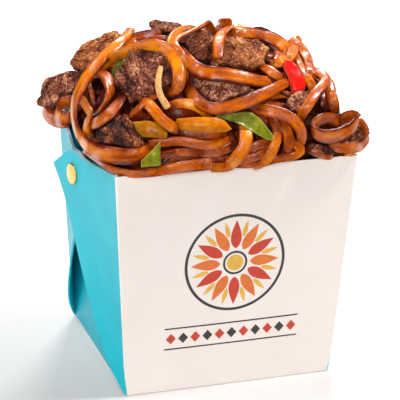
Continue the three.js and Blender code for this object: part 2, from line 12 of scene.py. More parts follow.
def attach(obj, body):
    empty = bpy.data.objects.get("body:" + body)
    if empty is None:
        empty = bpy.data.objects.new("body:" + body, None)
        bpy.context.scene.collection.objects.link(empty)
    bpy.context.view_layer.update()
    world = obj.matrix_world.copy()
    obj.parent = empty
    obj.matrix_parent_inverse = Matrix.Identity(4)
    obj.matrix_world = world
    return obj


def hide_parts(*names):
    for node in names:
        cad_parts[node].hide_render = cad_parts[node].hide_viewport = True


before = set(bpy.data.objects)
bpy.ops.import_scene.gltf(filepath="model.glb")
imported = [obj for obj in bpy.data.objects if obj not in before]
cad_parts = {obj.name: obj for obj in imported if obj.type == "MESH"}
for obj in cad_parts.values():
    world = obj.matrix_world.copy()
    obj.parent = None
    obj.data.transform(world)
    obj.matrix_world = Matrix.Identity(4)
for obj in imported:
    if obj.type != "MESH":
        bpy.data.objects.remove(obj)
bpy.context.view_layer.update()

MM = 0.001

# ---------------------------------------------------------------- driving dimensions

RIM_WIDE, RIM_DEEP = 108.0, 94.0
BASE_WIDE, BASE_DEEP = 94.5, 87.0
HEIGHT = 105.0
BOARD = 0.46                     # thickness of the coated card
LOWEST = 0.42                    # the panels start this high, on the fold of the base
PANEL_START = 0.6                # the front panel starts this far from its corner
PANEL_SET_IN = 0.07              # and its printed face lies this far inside the pail's depth
PANEL_BULGE = 0.7                # the food presses its middle out by this much
SIDE_SET_IN = 0.3                # the middle of a side panel's board lies this far in
CREASE_SHARE = 0.012             # share of a side that the crease at its corner takes up

WEB_SLOPE = 1.32                 # rise of a web's free fold over its way back from the corner
WEB_CORNERS = [[0, HEIGHT], [31.9, 100.6], [51.6, 100.7], [66.8, 89]]     # [along the side, height]
WEB_CORNER_CUTS = [7, 5]         # how far its two inner corners are rounded off
WEB_STAND = 8.2                  # how far the free fold stands off the side at most,
WEB_STAND_RISE = 18.0            # most of it gained over this height
WEB_STAND_POWER = 1.35           # power of the way from the corner to the fold
WEB_FLARE, WEB_FLARE_FROM, WEB_FLARE_RISE = 2.4, 66.0, 23.0     # and how much more from this height up
WEB_LAP = 1.4                    # the front web holds the rear one this much closer than itself
WEB_LET_OUT = 0.6                # less this share of the way past the front web's fold
WEB_TAPER = 0.15                 # share of the height over which the two layers part
LAYER_OUT, LAYER_IN = 0.62, 0.02     # middles of a web's two layers over the side

FLOOR_TOP = 1.0                  # the upper face of the pail's floor
FLOOR_FOLD = 0.8                 # radius of the fold round it
FLOOR_SQUARE = 60.0              # its outline is a superellipse of this power, nearly square

STUD_ALONG, STUD_HEIGHT = 47.6, 90.0
STUD_RADIUS = 4.7

MOUND_CENTRE = np.array([-1.0, 0.0, HEIGHT + 6])
MOUND_HALF = np.array([54.0, 46.5])
MOUND_UP, MOUND_DOWN = 34.0, 30.0
MOUND_SQUARE, MOUND_ROUND = 6.0, 2.1     # powers of its outline from above and from the side

NOODLE_THICK, NOODLE_THICKER = 1.2, 0.12     # a noodle is this thick, plus this share of its width
CORE_DEPTH = 4.2                 # the heap's own core lies this far under the mound's surface
RING_STEP = 1.3                  # distance between the rings of a swept piece
BEND_STEP = 3.9                  # distance between the places that settle

# The viewpoint on the serving side: its turn from -Y, its rise and its roll, how far off it is,
# and where its line of sight passes the origin.
VIEW_TURN, VIEW_RISE, VIEW_ROLL = np.radians([-19.2, 21.6, 1.75])
VIEW_DISTANCE = 900.0
VIEW_ACROSS, VIEW_UP = -0.9, 66.4
FRAME_SIDE = 400                 # the picture is square
FOCAL = 1930 / FRAME_SIDE        # focal length over the width of the picture
SENSOR = 36.0

# ---------------------------------------------------------------- small tools


def unit(vectors):
    """Each vector over its own length."""
    return vectors / np.maximum(np.linalg.norm(vectors, axis=-1, keepdims=True), 1e-12)


def blend(a, b, share):
    """From a at share 0 to b at share 1."""
    return a + (b - a) * share


def ease(low, high, value):
    """0 below low, 1 above high, and 3t^2 - 2t^3 between."""
    t = np.clip((value - low) / (high - low), 0, 1)
    return t * t * (3 - 2 * t)


def draws(seed):
    """A linear congruential generator: state times 1664525 plus 1013904223, modulo 2^32."""
    state = seed

    def draw():
        nonlocal state
        state = (state * 1664525 + 1013904223) % 2**32
        return state / 2**32

    return draw


def lumps(points, length, seed, count=22):
    """Uneven relief with features of about `length`: a sum of sine waves in seeded
    directions, scaled so that most of it lies between -1 and 1."""
    rng = np.random.default_rng(seed)
    way = unit(rng.normal(size=(count, 3)))
    waves = way * rng.uniform(0.6, 1.5, (count, 1)) * 2 * np.pi / length
    phase = rng.uniform(0, 2 * np.pi, count)
    return np.sin(points @ waves.T + phase).sum(-1) / np.sqrt(count) / 1.2


def linear(hex_colour):
    """An sRGB hex colour as linear RGBA."""
    parts = np.array([int(hex_colour[i:i + 2], 16) for i in (1, 3, 5)]) / 255
    low = parts / 12.92
    high = ((parts + 0.055) / 1.055) ** 2.4
    return (*np.where(parts <= 0.04045, low, high), 1.0)


# ---------------------------------------------------------------- meshes


def grid_quads(rows, columns, closed=False):
    """The quads of a grid of points kept row by row; closed joins the last column to the first."""
    row = np.arange(rows - 1)[:, None] * columns
    column = np.arange(columns if closed else columns - 1)[None, :]
    ahead = (column + 1) % columns
    below = row + columns
    return np.stack([row + column, row + ahead, below + ahead, below + column], -1).reshape(-1, 4)


def grid_patch(points, closed=False, kind=0, flip=False, **fields):
    """A patch from a grid of points, with material numbers and fields given at each point."""
    rows, columns = points.shape[:2]
    quads = grid_quads(rows, columns, closed)
    if flip:
        quads = quads[:, ::-1]
    return {
        "points": points.reshape(-1, 3),
        "quads": quads,
        "kinds": np.broadcast_to(kind, len(quads)),
        "fields": {name: np.broadcast_to(value, (rows, columns)).reshape(-1)
                   for name, value in fields.items()},
    }


def closed_patch(rings, **fields):
    """A closed body from rings of points: each row is joined round, and both end rows are
    filled by a fan round their middle."""
    count, sides = rings.shape[:2]
    patch = grid_patch(rings, closed=True, **fields)
    ends = np.stack([rings[0].mean(0), rings[-1].mean(0)])
    first = np.arange(sides)
    ahead = (first + 1) % sides
    last = (count - 1) * sides
    pole = count * sides
    patch["tris"] = np.concatenate([
        np.stack([ahead, first, np.full(sides, pole)], -1),
        np.stack([last + first, last + ahead, np.full(sides, pole + 1)], -1),
    ])
    patch["points"] = np.concatenate([patch["points"], ends])
    for name, value in patch["fields"].items():
        patch["fields"][name] = np.concatenate([value, [value[0], value[-1]]])
    patch["kinds"] = np.zeros(len(patch["quads"]) + len(patch["tris"]), int)
    return patch


def add_piece(name, slot, materials, patches, stands_for=(), sharp=None):
    """One mesh object from patches in millimetres. It rides on the box. Its slot is not used."""
    faces = []
    kinds = []
    start = 0
    for patch in patches:
        tris = patch.get("tris", np.zeros((0, 3), int))
        faces += (patch["quads"] + start).tolist() + (tris + start).tolist()
        kinds.append(patch["kinds"])
        start += len(patch["points"])
    points = np.concatenate([patch["points"] for patch in patches]) * MM
    mesh = bpy.data.meshes.new(name)
    mesh.from_pydata(points.tolist(), [], faces)
    mesh.polygons.foreach_set("use_smooth", np.ones(len(faces), bool))
    mesh.polygons.foreach_set("material_index", np.concatenate(kinds).astype(np.int32))
    for field in patches[0]["fields"]:
        values = np.concatenate([patch["fields"][field] for patch in patches])
        mesh.attributes.new(field, "FLOAT", "POINT").data.foreach_set("value", values)
    for material in materials:
        mesh.materials.append(material)
    if sharp is not None:
        mesh.set_sharp_from_angle(angle=np.radians(sharp))
    mesh.update()
    piece = bpy.data.objects.new(name, mesh)
    bpy.context.scene.collection.objects.link(piece)
    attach(piece, "root")
    if stands_for:
        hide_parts(*stands_for)


# ---------------------------------------------------------------- materials


def fill_sockets(tree, node, sockets):
    """Each socket takes a value, the output that feeds it, or a node whose first output does."""
    for key, value in sockets.items():
        if isinstance(value, bpy.types.Node):
            value = value.outputs[0]
        if isinstance(value, bpy.types.NodeSocket):
            tree.links.new(value, node.inputs[key])
        else:
            node.inputs[key].default_value = value


def add_node(tree, kind, sockets=(), stops=(), **settings):
    """Adds one shader node: sockets are its values and links, stops the places and colours of
    a ramp, either hex or linear, and settings its properties."""
    node = tree.nodes.new("ShaderNode" + kind)
    for name, value in settings.items():
        setattr(node, name, value)
    for i, (place, colour) in enumerate(stops):
        element = node.color_ramp.elements[i] if i < 2 else node.color_ramp.elements.new(place)
        element.position = place
        element.color = linear(colour) if isinstance(colour, str) else colour
    fill_sockets(tree, node, dict(sockets))
    return node


def new_material(name):
    """A material with only its surface shader: returns it, its tree, the shader and the Object
    coordinates that patterns are laid on."""
    material = bpy.data.materials.new(name)
    material.use_nodes = True
    tree = material.node_tree
    tree.nodes.clear()
    shader = add_node(tree, "BsdfPrincipled")
    add_node(tree, "OutputMaterial", {"Surface": shader})
    return material, tree, shader, add_node(tree, "TexCoord").outputs["Object"]


def printed_board(name, deep, light):
    """Clay-coated paperboard with a flat offset print under a water varnish: an even colour
    with a soft satin sheen, and a faint fibre grain where light grazes it."""
    material, tree, shader, place = new_material(name)
    cloud = add_node(tree, "TexNoise", {"Vector": place, "Scale": 1 / (14 * MM), "Detail": 3.0})
    tone = add_node(tree, "ValToRGB", {"Fac": cloud}, stops=[(0.3, deep), (0.7, light)])
    fibre = add_node(tree, "TexNoise", {"Vector": place, "Scale": 1 / (0.5 * MM), "Detail": 4.0})
    bump = add_node(tree, "Bump", {"Height": fibre, "Strength": 0.1, "Distance": 0.05 * MM})
    fill_sockets(tree, shader, {
        "Base Color": tone, "Roughness": 0.45, "IOR": 1.45, "Specular IOR Level": 0.3, "Normal": bump})
    return material


def bare_board(name, deep, light):
    """Uncoated board: the inside of the sheet and its cut edges, matt with fine fibres."""
    material, tree, shader, place = new_material(name)
    fibre = add_node(tree, "TexNoise", {"Vector": place, "Scale": 1 / (0.4 * MM), "Detail": 5.0})
    tone = add_node(tree, "ValToRGB", {"Fac": fibre}, stops=[(0.3, deep), (0.7, light)])
    bump = add_node(tree, "Bump", {"Height": fibre, "Strength": 0.3, "Distance": 0.08 * MM})
    fill_sockets(tree, shader, {"Base Color": tone, "Roughness": 0.8, "Normal": bump})
    return material


INK_THICKEST = 0.86              # where the ink lies thickest it keeps this share of its brightness


def printing_ink(name, colour):
    """Offset ink on coated board: flat colour with the board's own satin varnish."""
    material, tree, shader, place = new_material(name)
    cloud = add_node(tree, "TexNoise", {"Vector": place, "Scale": 1 / (3 * MM), "Detail": 3.0})
    deeper = (*np.array(linear(colour)[:3]) * INK_THICKEST, 1.0)
    tone = add_node(tree, "ValToRGB", {"Fac": cloud}, stops=[(0.3, deeper), (0.7, colour)])
    fill_sockets(tree, shader, {
        "Base Color": tone, "Roughness": 0.42, "IOR": 1.5, "Coat Weight": 0.2, "Coat Roughness": 0.2})
    return material


def glazed_noodle():
    """Boiled wheat noodle tossed in soy and oil: translucent amber dough under a thin gloss of
    oil, streaked along the strand where the sauce has soaked in, and in places finely
    wrinkled across it. Its colour is lighter in the middle of the strand and darker towards
    both edges: painted shade of the rounded edges, with some sauce soaked in there. The tone
    attribute also carries painted shade that darkens noodles lying deep in the heap."""
    material, tree, shader, place = new_material("glazed_noodle")
    tone, run, across, wrinkled = (add_node(tree, "Attribute", attribute_name=name).outputs["Fac"]
                                   for name in ("tone", "run", "across", "wrinkled"))
    strand = add_node(tree, "CombineXYZ", {"X": run, "Y": across, "Z": tone})

    def on_strand(along, beside):
        # a pattern this many millimetres long and broad, which the tone shifts on each noodle
        size = (1 / along, 1 / beside, 9.0)
        return add_node(tree, "VectorMath", {0: strand, 1: size}, operation="MULTIPLY")

    soaked = add_node(tree, "TexNoise", {"Vector": place, "Scale": 1 / (11 * MM), "Detail": 2.0})
    streak = add_node(tree, "TexNoise", {"Vector": on_strand(14.0, 1.6), "Scale": 1.0, "Detail": 2.0})
    pore = add_node(tree, "TexNoise", {
        "Vector": place, "Scale": 1 / (1.3 * MM), "Detail": 5.0, "Roughness": 0.65})
    broad = add_node(tree, "Math", {0: soaked, 1: 0.7, 2: -0.35}, operation="MULTIPLY_ADD")
    lines = add_node(tree, "Math", {0: streak, 1: 0.7, 2: broad}, operation="MULTIPLY_ADD")
    fine = add_node(tree, "Math", {0: pore, 1: 0.45, 2: -0.575}, operation="MULTIPLY_ADD")
    both = add_node(tree, "Math", {0: lines, 1: fine}, operation="ADD")
    beside = add_node(tree, "Math", {0: across}, operation="ABSOLUTE")
    # Painted shade: lighter in the middle of the strand and darker towards its edges, partly sauce soaked in
    # at the edges.
    edge_shade_and_soak = add_node(tree, "MapRange", {
        "Value": beside, "From Min": 1.6, "From Max": 3.0, "To Min": 0.1, "To Max": -0.3})
    lit = add_node(tree, "Math", {0: both, 1: edge_shade_and_soak}, operation="ADD")
    shade = add_node(tree, "Math", {0: tone, 1: lit}, operation="ADD", use_clamp=True)
    dough = add_node(tree, "ValToRGB", {"Fac": shade}, stops=[
        (0.0, "#360c02"), (0.28, "#742000"), (0.6, "#bc5602"), (1.0, "#e88c06")])
    bump = add_node(tree, "Bump", {"Height": pore, "Strength": 0.5, "Distance": 0.3 * MM})
    crease = add_node(tree, "TexNoise", {
        "Vector": on_strand(0.9, 2.2), "Scale": 1.0, "Detail": 3.0, "Distortion": 0.6})
    fold = add_node(tree, "Bump", {
        "Height": crease, "Strength": wrinkled, "Distance": 0.32 * MM, "Normal": bump})
    pool = add_node(tree, "TexNoise", {"Vector": place, "Scale": 1 / (7 * MM), "Detail": 3.0})
    reached = add_node(tree, "MapRange", {"Value": tone, "From Max": 0.3, "To Min": 0.1})
    oil = add_node(tree, "MapRange", {
        "Value": pool, "From Min": 0.42, "From Max": 0.53, "To Min": 0.03, "To Max": reached})
    drier = add_node(tree, "MapRange", {
        "Value": tone, "From Min": -0.1, "From Max": 0.25, "To Min": 0.8, "To Max": 0.42})
    fill_sockets(tree, shader, {
        "Base Color": dough, "Roughness": drier, "IOR": 1.35, "Specular IOR Level": 0.1,
        "Subsurface Weight": 0.15, "Subsurface Scale": MM, "Subsurface Radius": (2.5, 0.9, 0.3),
        "Coat Weight": oil, "Coat Roughness": 0.22, "Coat IOR": 1.55, "Normal": fold, "Coat Normal": fold})
    return material


def shaded_heap_dough():
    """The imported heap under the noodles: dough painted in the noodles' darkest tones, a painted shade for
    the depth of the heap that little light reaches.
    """
    material, tree, shader, place = new_material("heap_dough_painted_shade")
    cloud = add_node(tree, "TexNoise", {"Vector": place, "Scale": 1 / (5 * MM), "Detail": 4.0})
    tone = add_node(tree, "ValToRGB", {"Fac": cloud}, stops=[(0.35, "#340c02"), (0.7, "#7a2a04")])
    fill_sockets(tree, shader, {
        "Base Color": tone, "Roughness": 0.65, "IOR": 1.33, "Specular IOR Level": 0.15})
    return material


def seared_beef():
    """Sliced beef, browned in a wok: crumbly fibres, dark where seared and pinkish tan, with
    small wet glints of sauce. Its colour is painted lighter on the raised bundles, a painted
    light, and darker in the cracks and towards the rim and underside, a painted shade."""
    material, tree, shader, place = new_material("seared_beef")
    sear, warm, x, y, z = (add_node(tree, "Attribute", attribute_name=name).outputs["Fac"]
                           for name in ("sear", "warm", "fibre_x", "fibre_y", "fibre_z"))
    fibres = add_node(tree, "CombineXYZ", {"X": x, "Y": y, "Z": z})
    grain = add_node(tree, "TexNoise", {
        "Vector": fibres, "Scale": 1 / 0.55, "Detail": 5.0, "Roughness": 0.7, "Distortion": 0.3})
    patchy = add_node(tree, "TexNoise", {"Vector": place, "Scale": 1 / (4.5 * MM), "Detail": 3.0})
    fine = add_node(tree, "Math", {0: grain, 1: 2.5, 2: -1.25}, operation="MULTIPLY_ADD")
    broad = add_node(tree, "Math", {0: patchy, 1: 1.1, 2: -0.55}, operation="MULTIPLY_ADD")
    both = add_node(tree, "Math", {0: fine, 1: broad}, operation="ADD")
    shade = add_node(tree, "Math", {0: sear, 1: both}, operation="ADD", use_clamp=True)
    cool = add_node(tree, "ValToRGB", {"Fac": shade}, stops=[
        (0.0, "#1a0502"), (0.38, "#5a1e0e"), (0.7, "#9a5034"), (1.0, "#e2a88c")])
    tan = add_node(tree, "ValToRGB", {"Fac": shade}, stops=[
        (0.0, "#200802"), (0.38, "#783008"), (0.7, "#b0622a"), (1.0, "#e29a4c")])
    colour = add_node(tree, "Mix", {"Factor": warm, "A": cool, "B": tan}, data_type="RGBA")
    bump = add_node(tree, "Bump", {"Height": grain, "Strength": 1.0, "Distance": 0.8 * MM})
    gloss = add_node(tree, "MapRange", {
        "Value": grain, "From Min": 0.4, "From Max": 0.62, "To Min": 0.65, "To Max": 0.25})
    fill_sockets(tree, shader, {
        "Base Color": colour.outputs["Result"], "Roughness": gloss, "IOR": 1.38, "Normal": bump})
    return material


def pepper_skin(name, deep, light, edge):
    """Stir-fried pepper: taut waxy skin with a soft oily shine, paler on the cut flesh. The bean sprout
    takes it too, and there the paler edges are a painted highlight.
    """
    material, tree, shader, place = new_material(name)
    rim = add_node(tree, "Attribute", attribute_name="rim").outputs["Fac"]
    cloud = add_node(tree, "TexNoise", {"Vector": place, "Scale": 1 / (3 * MM), "Detail": 4.0})
    tone = add_node(tree, "ValToRGB", {"Fac": cloud}, stops=[(0.3, deep), (0.7, light)])
    colour = add_node(tree, "Mix", {"Factor": rim, "A": tone, "B": linear(edge)}, data_type="RGBA")
    skin = add_node(tree, "TexNoise", {"Vector": place, "Scale": 1 / (1.2 * MM), "Detail": 2.0})
    bump = add_node(tree, "Bump", {"Height": skin, "Strength": 0.15, "Distance": 0.2 * MM})
    fill_sockets(tree, shader, {
        "Base Color": colour.outputs["Result"], "Roughness": 0.34, "IOR": 1.4, "Specular IOR Level": 0.2,
        "Subsurface Weight": 0.15, "Subsurface Scale": MM, "Subsurface Radius": (2.0, 1.2, 0.5),
        "Coat Weight": 0.15, "Coat Roughness": 0.12, "Normal": bump})
    return material


def lacquered_brass():
    """A stamped brass stud: bright yellow metal under clear lacquer, lightly brushed."""
    material, tree, shader, place = new_material("lacquered_brass")
    brush = add_node(tree, "TexNoise", {"Vector": place, "Scale": 1 / (0.6 * MM), "Detail": 2.0})
    gloss = add_node(tree, "MapRange", {"Value": brush, "To Min": 0.22, "To Max": 0.38})
    fill_sockets(tree, shader, {
        "Base Color": linear("#ecc06e"), "Metallic": 1.0, "Roughness": gloss, "Coat Weight": 0.4,
        "Coat Roughness": 0.1})
    return material


# ---------------------------------------------------------------- the pail


def half_wide(z):
    """Half the pail's width at a height."""
    return blend(BASE_WIDE, RIM_WIDE, z / HEIGHT) / 2


def half_deep(z):
    """Half its depth at a height."""
    return blend(BASE_DEEP, RIM_DEEP, z / HEIGHT) / 2


SIDE_LEAN = np.arctan((RIM_WIDE - BASE_WIDE) / 2 / HEIGHT)


def on_side(along, z, off):
    """A point on the left side panel: how far back from the front edge, how high, and how far
    it stands off the panel."""
    return np.stack([
        -half_wide(z) - off * np.cos(SIDE_LEAN),
        along - half_deep(z),
        z - off * np.sin(SIDE_LEAN),
    ], -1)


def stand_off(from_corner, z):
    """How far a web stands off the side. Its free fold stands off by 1 - exp(-height / rise)
    of its full stand, and near the top by the square of the way up the flare as well. From
    the corner to the fold the web gains that by a power of the way gone."""
    fold = np.maximum(z, 1) / WEB_SLOPE
    flare = WEB_FLARE * np.clip((z - WEB_FLARE_FROM) / WEB_FLARE_RISE, 0, 1) ** 2
    at_fold = WEB_STAND * (1 - np.exp(-z / WEB_STAND_RISE)) + flare
    return at_fold * np.minimum(from_corner / fold, 1) ** WEB_STAND_POWER


def stand_off_rear(from_corner, z):
    """The rear web does the same from its own corner, but the front web holds it down."""
    from_front = 2 * half_deep(z) - from_corner
    past_fold = np.maximum(from_front - z / WEB_SLOPE, 0)
    held = stand_off(from_front, z) - WEB_LAP + WEB_LET_OUT * past_fold
    return np.minimum(stand_off(from_corner, z), held)


def rounded_corners(corners, cuts):
    """A line through corners, each inner one rounded: a quadratic curve from its cut before
    the corner to as far after it, with the corner as its middle handle."""
    corners = np.array(corners, float)
    share = np.linspace(0, 1, 7)[:, None]
    path = [corners[:1]]
    for before, corner, after, cut in zip(corners, corners[1:], corners[2:], cuts):
        start = corner + unit(before - corner) * cut
        end = corner + unit(after - corner) * cut
        path.append((1 - share) ** 2 * start + 2 * share * (1 - share) * corner + share ** 2 * end)
    path.append(corners[-1:])
    return np.concatenate(path)


def along_line(path, shares):
    """Points at given shares of a line's length."""
    reach = np.concatenate([[0], np.cumsum(np.linalg.norm(np.diff(path, axis=0), axis=1))])
    places = shares * reach[-1]
    return np.stack([np.interp(places, reach, path[:, k]) for k in range(path.shape[1])], -1)


WHITE, TURQUOISE, BARE, CUT = range(4)     # the carton's finishes, in the order of its materials


def board(middle, kind_out, kind_in):
    """A sheet of card from the grid of its middle: each face lies half the thickness along
    the grid's normal, and the four cut edges are closed. Returns its patches."""
    down = np.gradient(middle, axis=0)
    across = np.gradient(middle, axis=1)
    normal = unit(np.cross(across, down))
    outer = middle + normal * BOARD / 2
    inner = middle - normal * BOARD / 2
    patches = [grid_patch(outer, kind=kind_out, flip=True), grid_patch(inner, kind=kind_in)]
    for edge in (np.s_[0, :], np.s_[-1, :], np.s_[:, 0], np.s_[:, -1]):
        strip = np.stack([outer[edge], inner[edge]])
        patches.append(grid_patch(strip, kind=CUT, flip=edge in (np.s_[0, :], np.s_[:, -1])))
    return patches


WEB_COLUMNS = 26
PAIL_ROWS = 54
FOLD_TURN = 6                    # steps round a web's free fold
CREASE_STEPS = 3                 # columns of points in the curve of a crease, which is white


def web_columns(rear):
    """The board of one corner web, from the side panel's crease out over the inner layer,
    round the free fold and back over the outer layer to the front panel's crease."""
    stand = stand_off_rear if rear else stand_off
    top = rounded_corners(WEB_CORNERS, WEB_CORNER_CUTS)
    edge = along_line(top, np.linspace(CREASE_SHARE, 1, WEB_COLUMNS))
    reach = blend(LOWEST / HEIGHT, 1, np.linspace(0, 1, PAIL_ROWS))[:, None]
    taper = np.minimum(1, reach / WEB_TAPER)

    def layer(places, off):
        along = places[:, 0] * reach
        z = places[:, 1] * reach
        return along, z, stand(along, z) + off * taper

    turn = np.linspace(np.pi, 0, FOLD_TURN + 2)[1:-1]
    middle = (LAYER_OUT + LAYER_IN) / 2
    radius = (LAYER_OUT - LAYER_IN) / 2
    tip = edge[-1:]
    past = np.array([tip[0, 1], -tip[0, 0]]) / np.hypot(*tip[0])
    swing = radius * np.sin(turn) * taper
    tips = np.repeat(tip, FOLD_TURN, 0)
    fold_along, fold_z, fold_off = layer(tips, middle + radius * np.cos(turn))
    parts = [
        layer(edge, LAYER_IN),
        (fold_along + swing * past[0], fold_z + swing * past[1], fold_off),
        layer(edge[::-1], LAYER_OUT),
    ]
    along, z, off = (np.concatenate([part[k] for part in parts], 1) for k in range(3))
    return on_side(along, z, off)


def panel_bulge(across, z):
    """How far the food presses a panel out: cos(a pi/2) sin(pi h)^0.8 of the most, at a
    across it and h of its height."""
    up = np.sin(np.pi * np.clip(z / HEIGHT, 0, 1)) ** 0.8
    return PANEL_BULGE * np.cos(across * np.pi / 2) * up


def front_middle(across, z):
    """The middle of the front panel's board: across runs from -1 to 1."""
    x = across * (half_wide(z) - PANEL_START)
    y = -half_deep(z) + BOARD / 2 + PANEL_SET_IN - panel_bulge(across, z)
    return np.stack([x, y, np.broadcast_to(z, x.shape)], -1)


PANEL_COLUMNS = 44


def wrap(rear):
    """The front or back panel with both its webs, as one strip of board: the left web, the
    crease (a quadratic curve round the corner), the panel, and the same mirrored. The webs
    are printed on both faces."""
    web = web_columns(rear)
    z = blend(LOWEST, HEIGHT, np.linspace(0, 1, PAIL_ROWS))[:, None]
    panel = front_middle(np.linspace(-1, 1, PANEL_COLUMNS)[None, :], z)
    start = web[:, -1:]
    end = panel[:, :1]
    handle = np.stack([start[..., 0], end[..., 1], (start[..., 2] + end[..., 2]) / 2], -1)
    weight = np.linspace(0, 1, CREASE_STEPS + 2)[1:-1].reshape(1, -1, 1)
    crease = (1 - weight) ** 2 * start + 2 * weight * (1 - weight) * handle + weight ** 2 * end
    left = np.concatenate([web, crease], 1)
    right = left[:, ::-1] * [-1, 1, 1]
    strip = np.concatenate([left, panel, right], 1)
    printed = np.full(strip.shape[1] - 1, TURQUOISE)
    past = web.shape[1] - 1
    printed[past:-past] = WHITE
    kinds = np.tile(printed, PAIL_ROWS - 1)
    if rear:
        strip = (strip * [1, -1, 1])[:, ::-1]
    return board(strip, kinds, np.where(kinds == WHITE, BARE, TURQUOISE))


def side_panel():
    """The left side panel, between the corner creases."""
    z = blend(LOWEST, HEIGHT, np.linspace(0, 1, PAIL_ROWS))[:, None]
    along = np.linspace(CREASE_SHARE, 1 - CREASE_SHARE, 30)[None, :] * 2 * half_deep(z)
    return on_side(along[:, ::-1], np.broadcast_to(z, along.shape), -SIDE_SET_IN)


def base_plate():
    """The pail's floor: rounded loops from the middle of the underside, round the bottom
    fold, and back in over the top."""
    turn = np.linspace(0, np.pi / 2, 5)
    inset = np.concatenate([[30, 12, 4, 1.6], FLOOR_FOLD * (1 - np.sin(turn)), [0.1, 1.5, 12, 30]])
    z = np.concatenate([np.zeros(4), FLOOR_FOLD * (1 - np.cos(turn)), np.full(4, FLOOR_TOP)])
    around = np.linspace(0, 2 * np.pi, 160, endpoint=False)
    cos, sin = np.cos(around), np.sin(around)
    size = (np.abs(cos) ** FLOOR_SQUARE + np.abs(sin) ** FLOOR_SQUARE) ** (-1 / FLOOR_SQUARE)
    x = (BASE_WIDE / 2 - inset)[:, None] * (cos * size)[None, :]
    y = (BASE_DEEP / 2 - inset)[:, None] * (sin * size)[None, :]
    return np.stack([x, y, np.broadcast_to(z[:, None], x.shape)], -1)


def make_carton():
    """The folded sheet: both wraps, both sides and the floor."""
    finishes = [
        printed_board("coated_board_white", "#faf0e9", "#fcf3ed"),
        printed_board("coated_board_turquoise", "#08bacd", "#16c4d6"),
        bare_board("uncoated_board_inside", "#e4ddd0", "#f0eae0"),
        bare_board("cut_board_edge", "#dceeee", "#eef6f6"),
    ]
    side = side_panel()
    sheet = wrap(False) + wrap(True) + board(side, TURQUOISE, BARE)
    sheet += board((side * [-1, 1, 1])[:, ::-1], TURQUOISE, BARE)
    sheet.append(closed_patch(base_plate()))
    add_piece("carton_sheet", "card", finishes, sheet, stands_for=["carton"], sharp=50)


def stud_place():
    """The stud's seat on the front web and the way it faces."""
    def at(along, z):
        return on_side(along, z, stand_off(along, z) + LAYER_OUT + BOARD / 2)

    seat = at(STUD_ALONG, STUD_HEIGHT)
    back = at(STUD_ALONG + 1, STUD_HEIGHT) - seat
    up = at(STUD_ALONG, STUD_HEIGHT + 1) - seat
    out = unit(np.cross(up, back))
    return seat, out if out[0] < 0 else -out


# A stud's profile from the middle of its dome out over the rim and down its shank: shares of
# its radius, and heights over its seat.
STUD_RADII = np.array([0.02, 0.3, 0.55, 0.72, 0.82, 0.9, 0.97, 1.0, 1.0, 0.97, 0.3, 0.28, 0.02])
STUD_HEIGHTS = np.array([1.3, 1.24, 1.08, 0.9, 0.82, 0.84, 0.72, 0.5, 0.25, 0.08, 0.06, -3.2, -3.2])


def make_studs():
    """Two pressed studs: the profile swept round, with a rolled rim, a shallow dish inside it
    and a low dome."""
    around = np.linspace(0, 2 * np.pi, 64, endpoint=False)
    seat, out = stud_place()
    across = unit(np.cross(out, [0, 0, 1.0]))
    rise = np.cross(across, out)
    spoke = np.cos(around)[:, None] * across + np.sin(around)[:, None] * rise
    radius = STUD_RADIUS * STUD_RADII
    rings = seat + radius[:, None, None] * spoke + STUD_HEIGHTS[:, None, None] * out
    brass = lacquered_brass()
    for side, stud in (("left", rings[::-1]), ("right", rings * [-1, 1, 1])):
        add_piece(f"brass_stud_{side}", "stud", [brass], [closed_patch(stud)],
                  stands_for=[f"stud_{side}"], sharp=60)


# ---------------------------------------------------------------- the printed emblem

EMBLEM_HEIGHT = 60.0             # middle of the rosette
ROSETTE_RADIUS, ROSETTE_RULE = 23.0, 1.3     # outer radius and width of its ring
HUB_RING = (4.6, 5.6)            # radii of the ring about its hub
HUB = (0.02, 3.8)                # and of the hub itself
PETALS = 12
LONG_PETAL = (6.8, 20.2, 2.5)    # where a petal starts and ends, and its half width
SHORT_PETAL = (12.4, 20.4, 1.1)
BAND_HEIGHT = 26.0               # middle of the row of lozenges
LOZENGES = 11
LOZENGE_STEP = 5.6
LOZENGE_HALF = (2.3, 2.6)        # half a lozenge's width and height
RULE_AWAY = 5                    # the rules lie this far from the row's middle
RULE_HALF = (31, 0.35)           # half a rule's length and thickness
INK_LIFT = 0.02


def on_front(x, z, rear):
    """A point of ink on the front or back panel."""
    across = np.clip(x / (half_wide(z) - PANEL_START), -1, 1)
    y = -half_deep(z) + PANEL_SET_IN - panel_bulge(across, z) - INK_LIFT
    return np.stack([-x if rear else x, -y if rear else y, z], -1)


def ring_grid(inner, outer):
    """A flat ring about the rosette's middle."""
    around = np.linspace(0, 2 * np.pi, 121)
    radius = np.linspace(inner, outer, 4)[:, None]
    return radius * np.cos(around), radius * np.sin(around)


def petal_grid(turn, start, end, wide):
    """A petal along a direction: its half width is wide times sin(pi s^0.7), s from 0 to 1."""
    s = np.linspace(0, 1, 24)[:, None]
    side = np.linspace(-1, 1, 9)[None, :] * wide * np.sin(np.pi * s ** 0.7)
    reach = blend(start, end, s) + 0 * side
    return reach * np.cos(turn) - side * np.sin(turn), reach * np.sin(turn) + side * np.cos(turn)


def lozenge_grid(middle, wide, high):
    """A lozenge: its half height shrinks evenly from its middle to its ends."""
    s = np.linspace(-1, 1, 13)[:, None]
    side = np.linspace(-1, 1, 5)[None, :] * high * (1 - np.abs(s))
    return middle + wide * s + 0 * side, side


def rule_grid(long, thick):
    """A straight rule from its half length and half thickness."""
    x = np.linspace(-long, long, 40)[:, None] + np.zeros((1, 3))
    return x, np.linspace(-thick, thick, 3)[None, :] + np.zeros((40, 1))


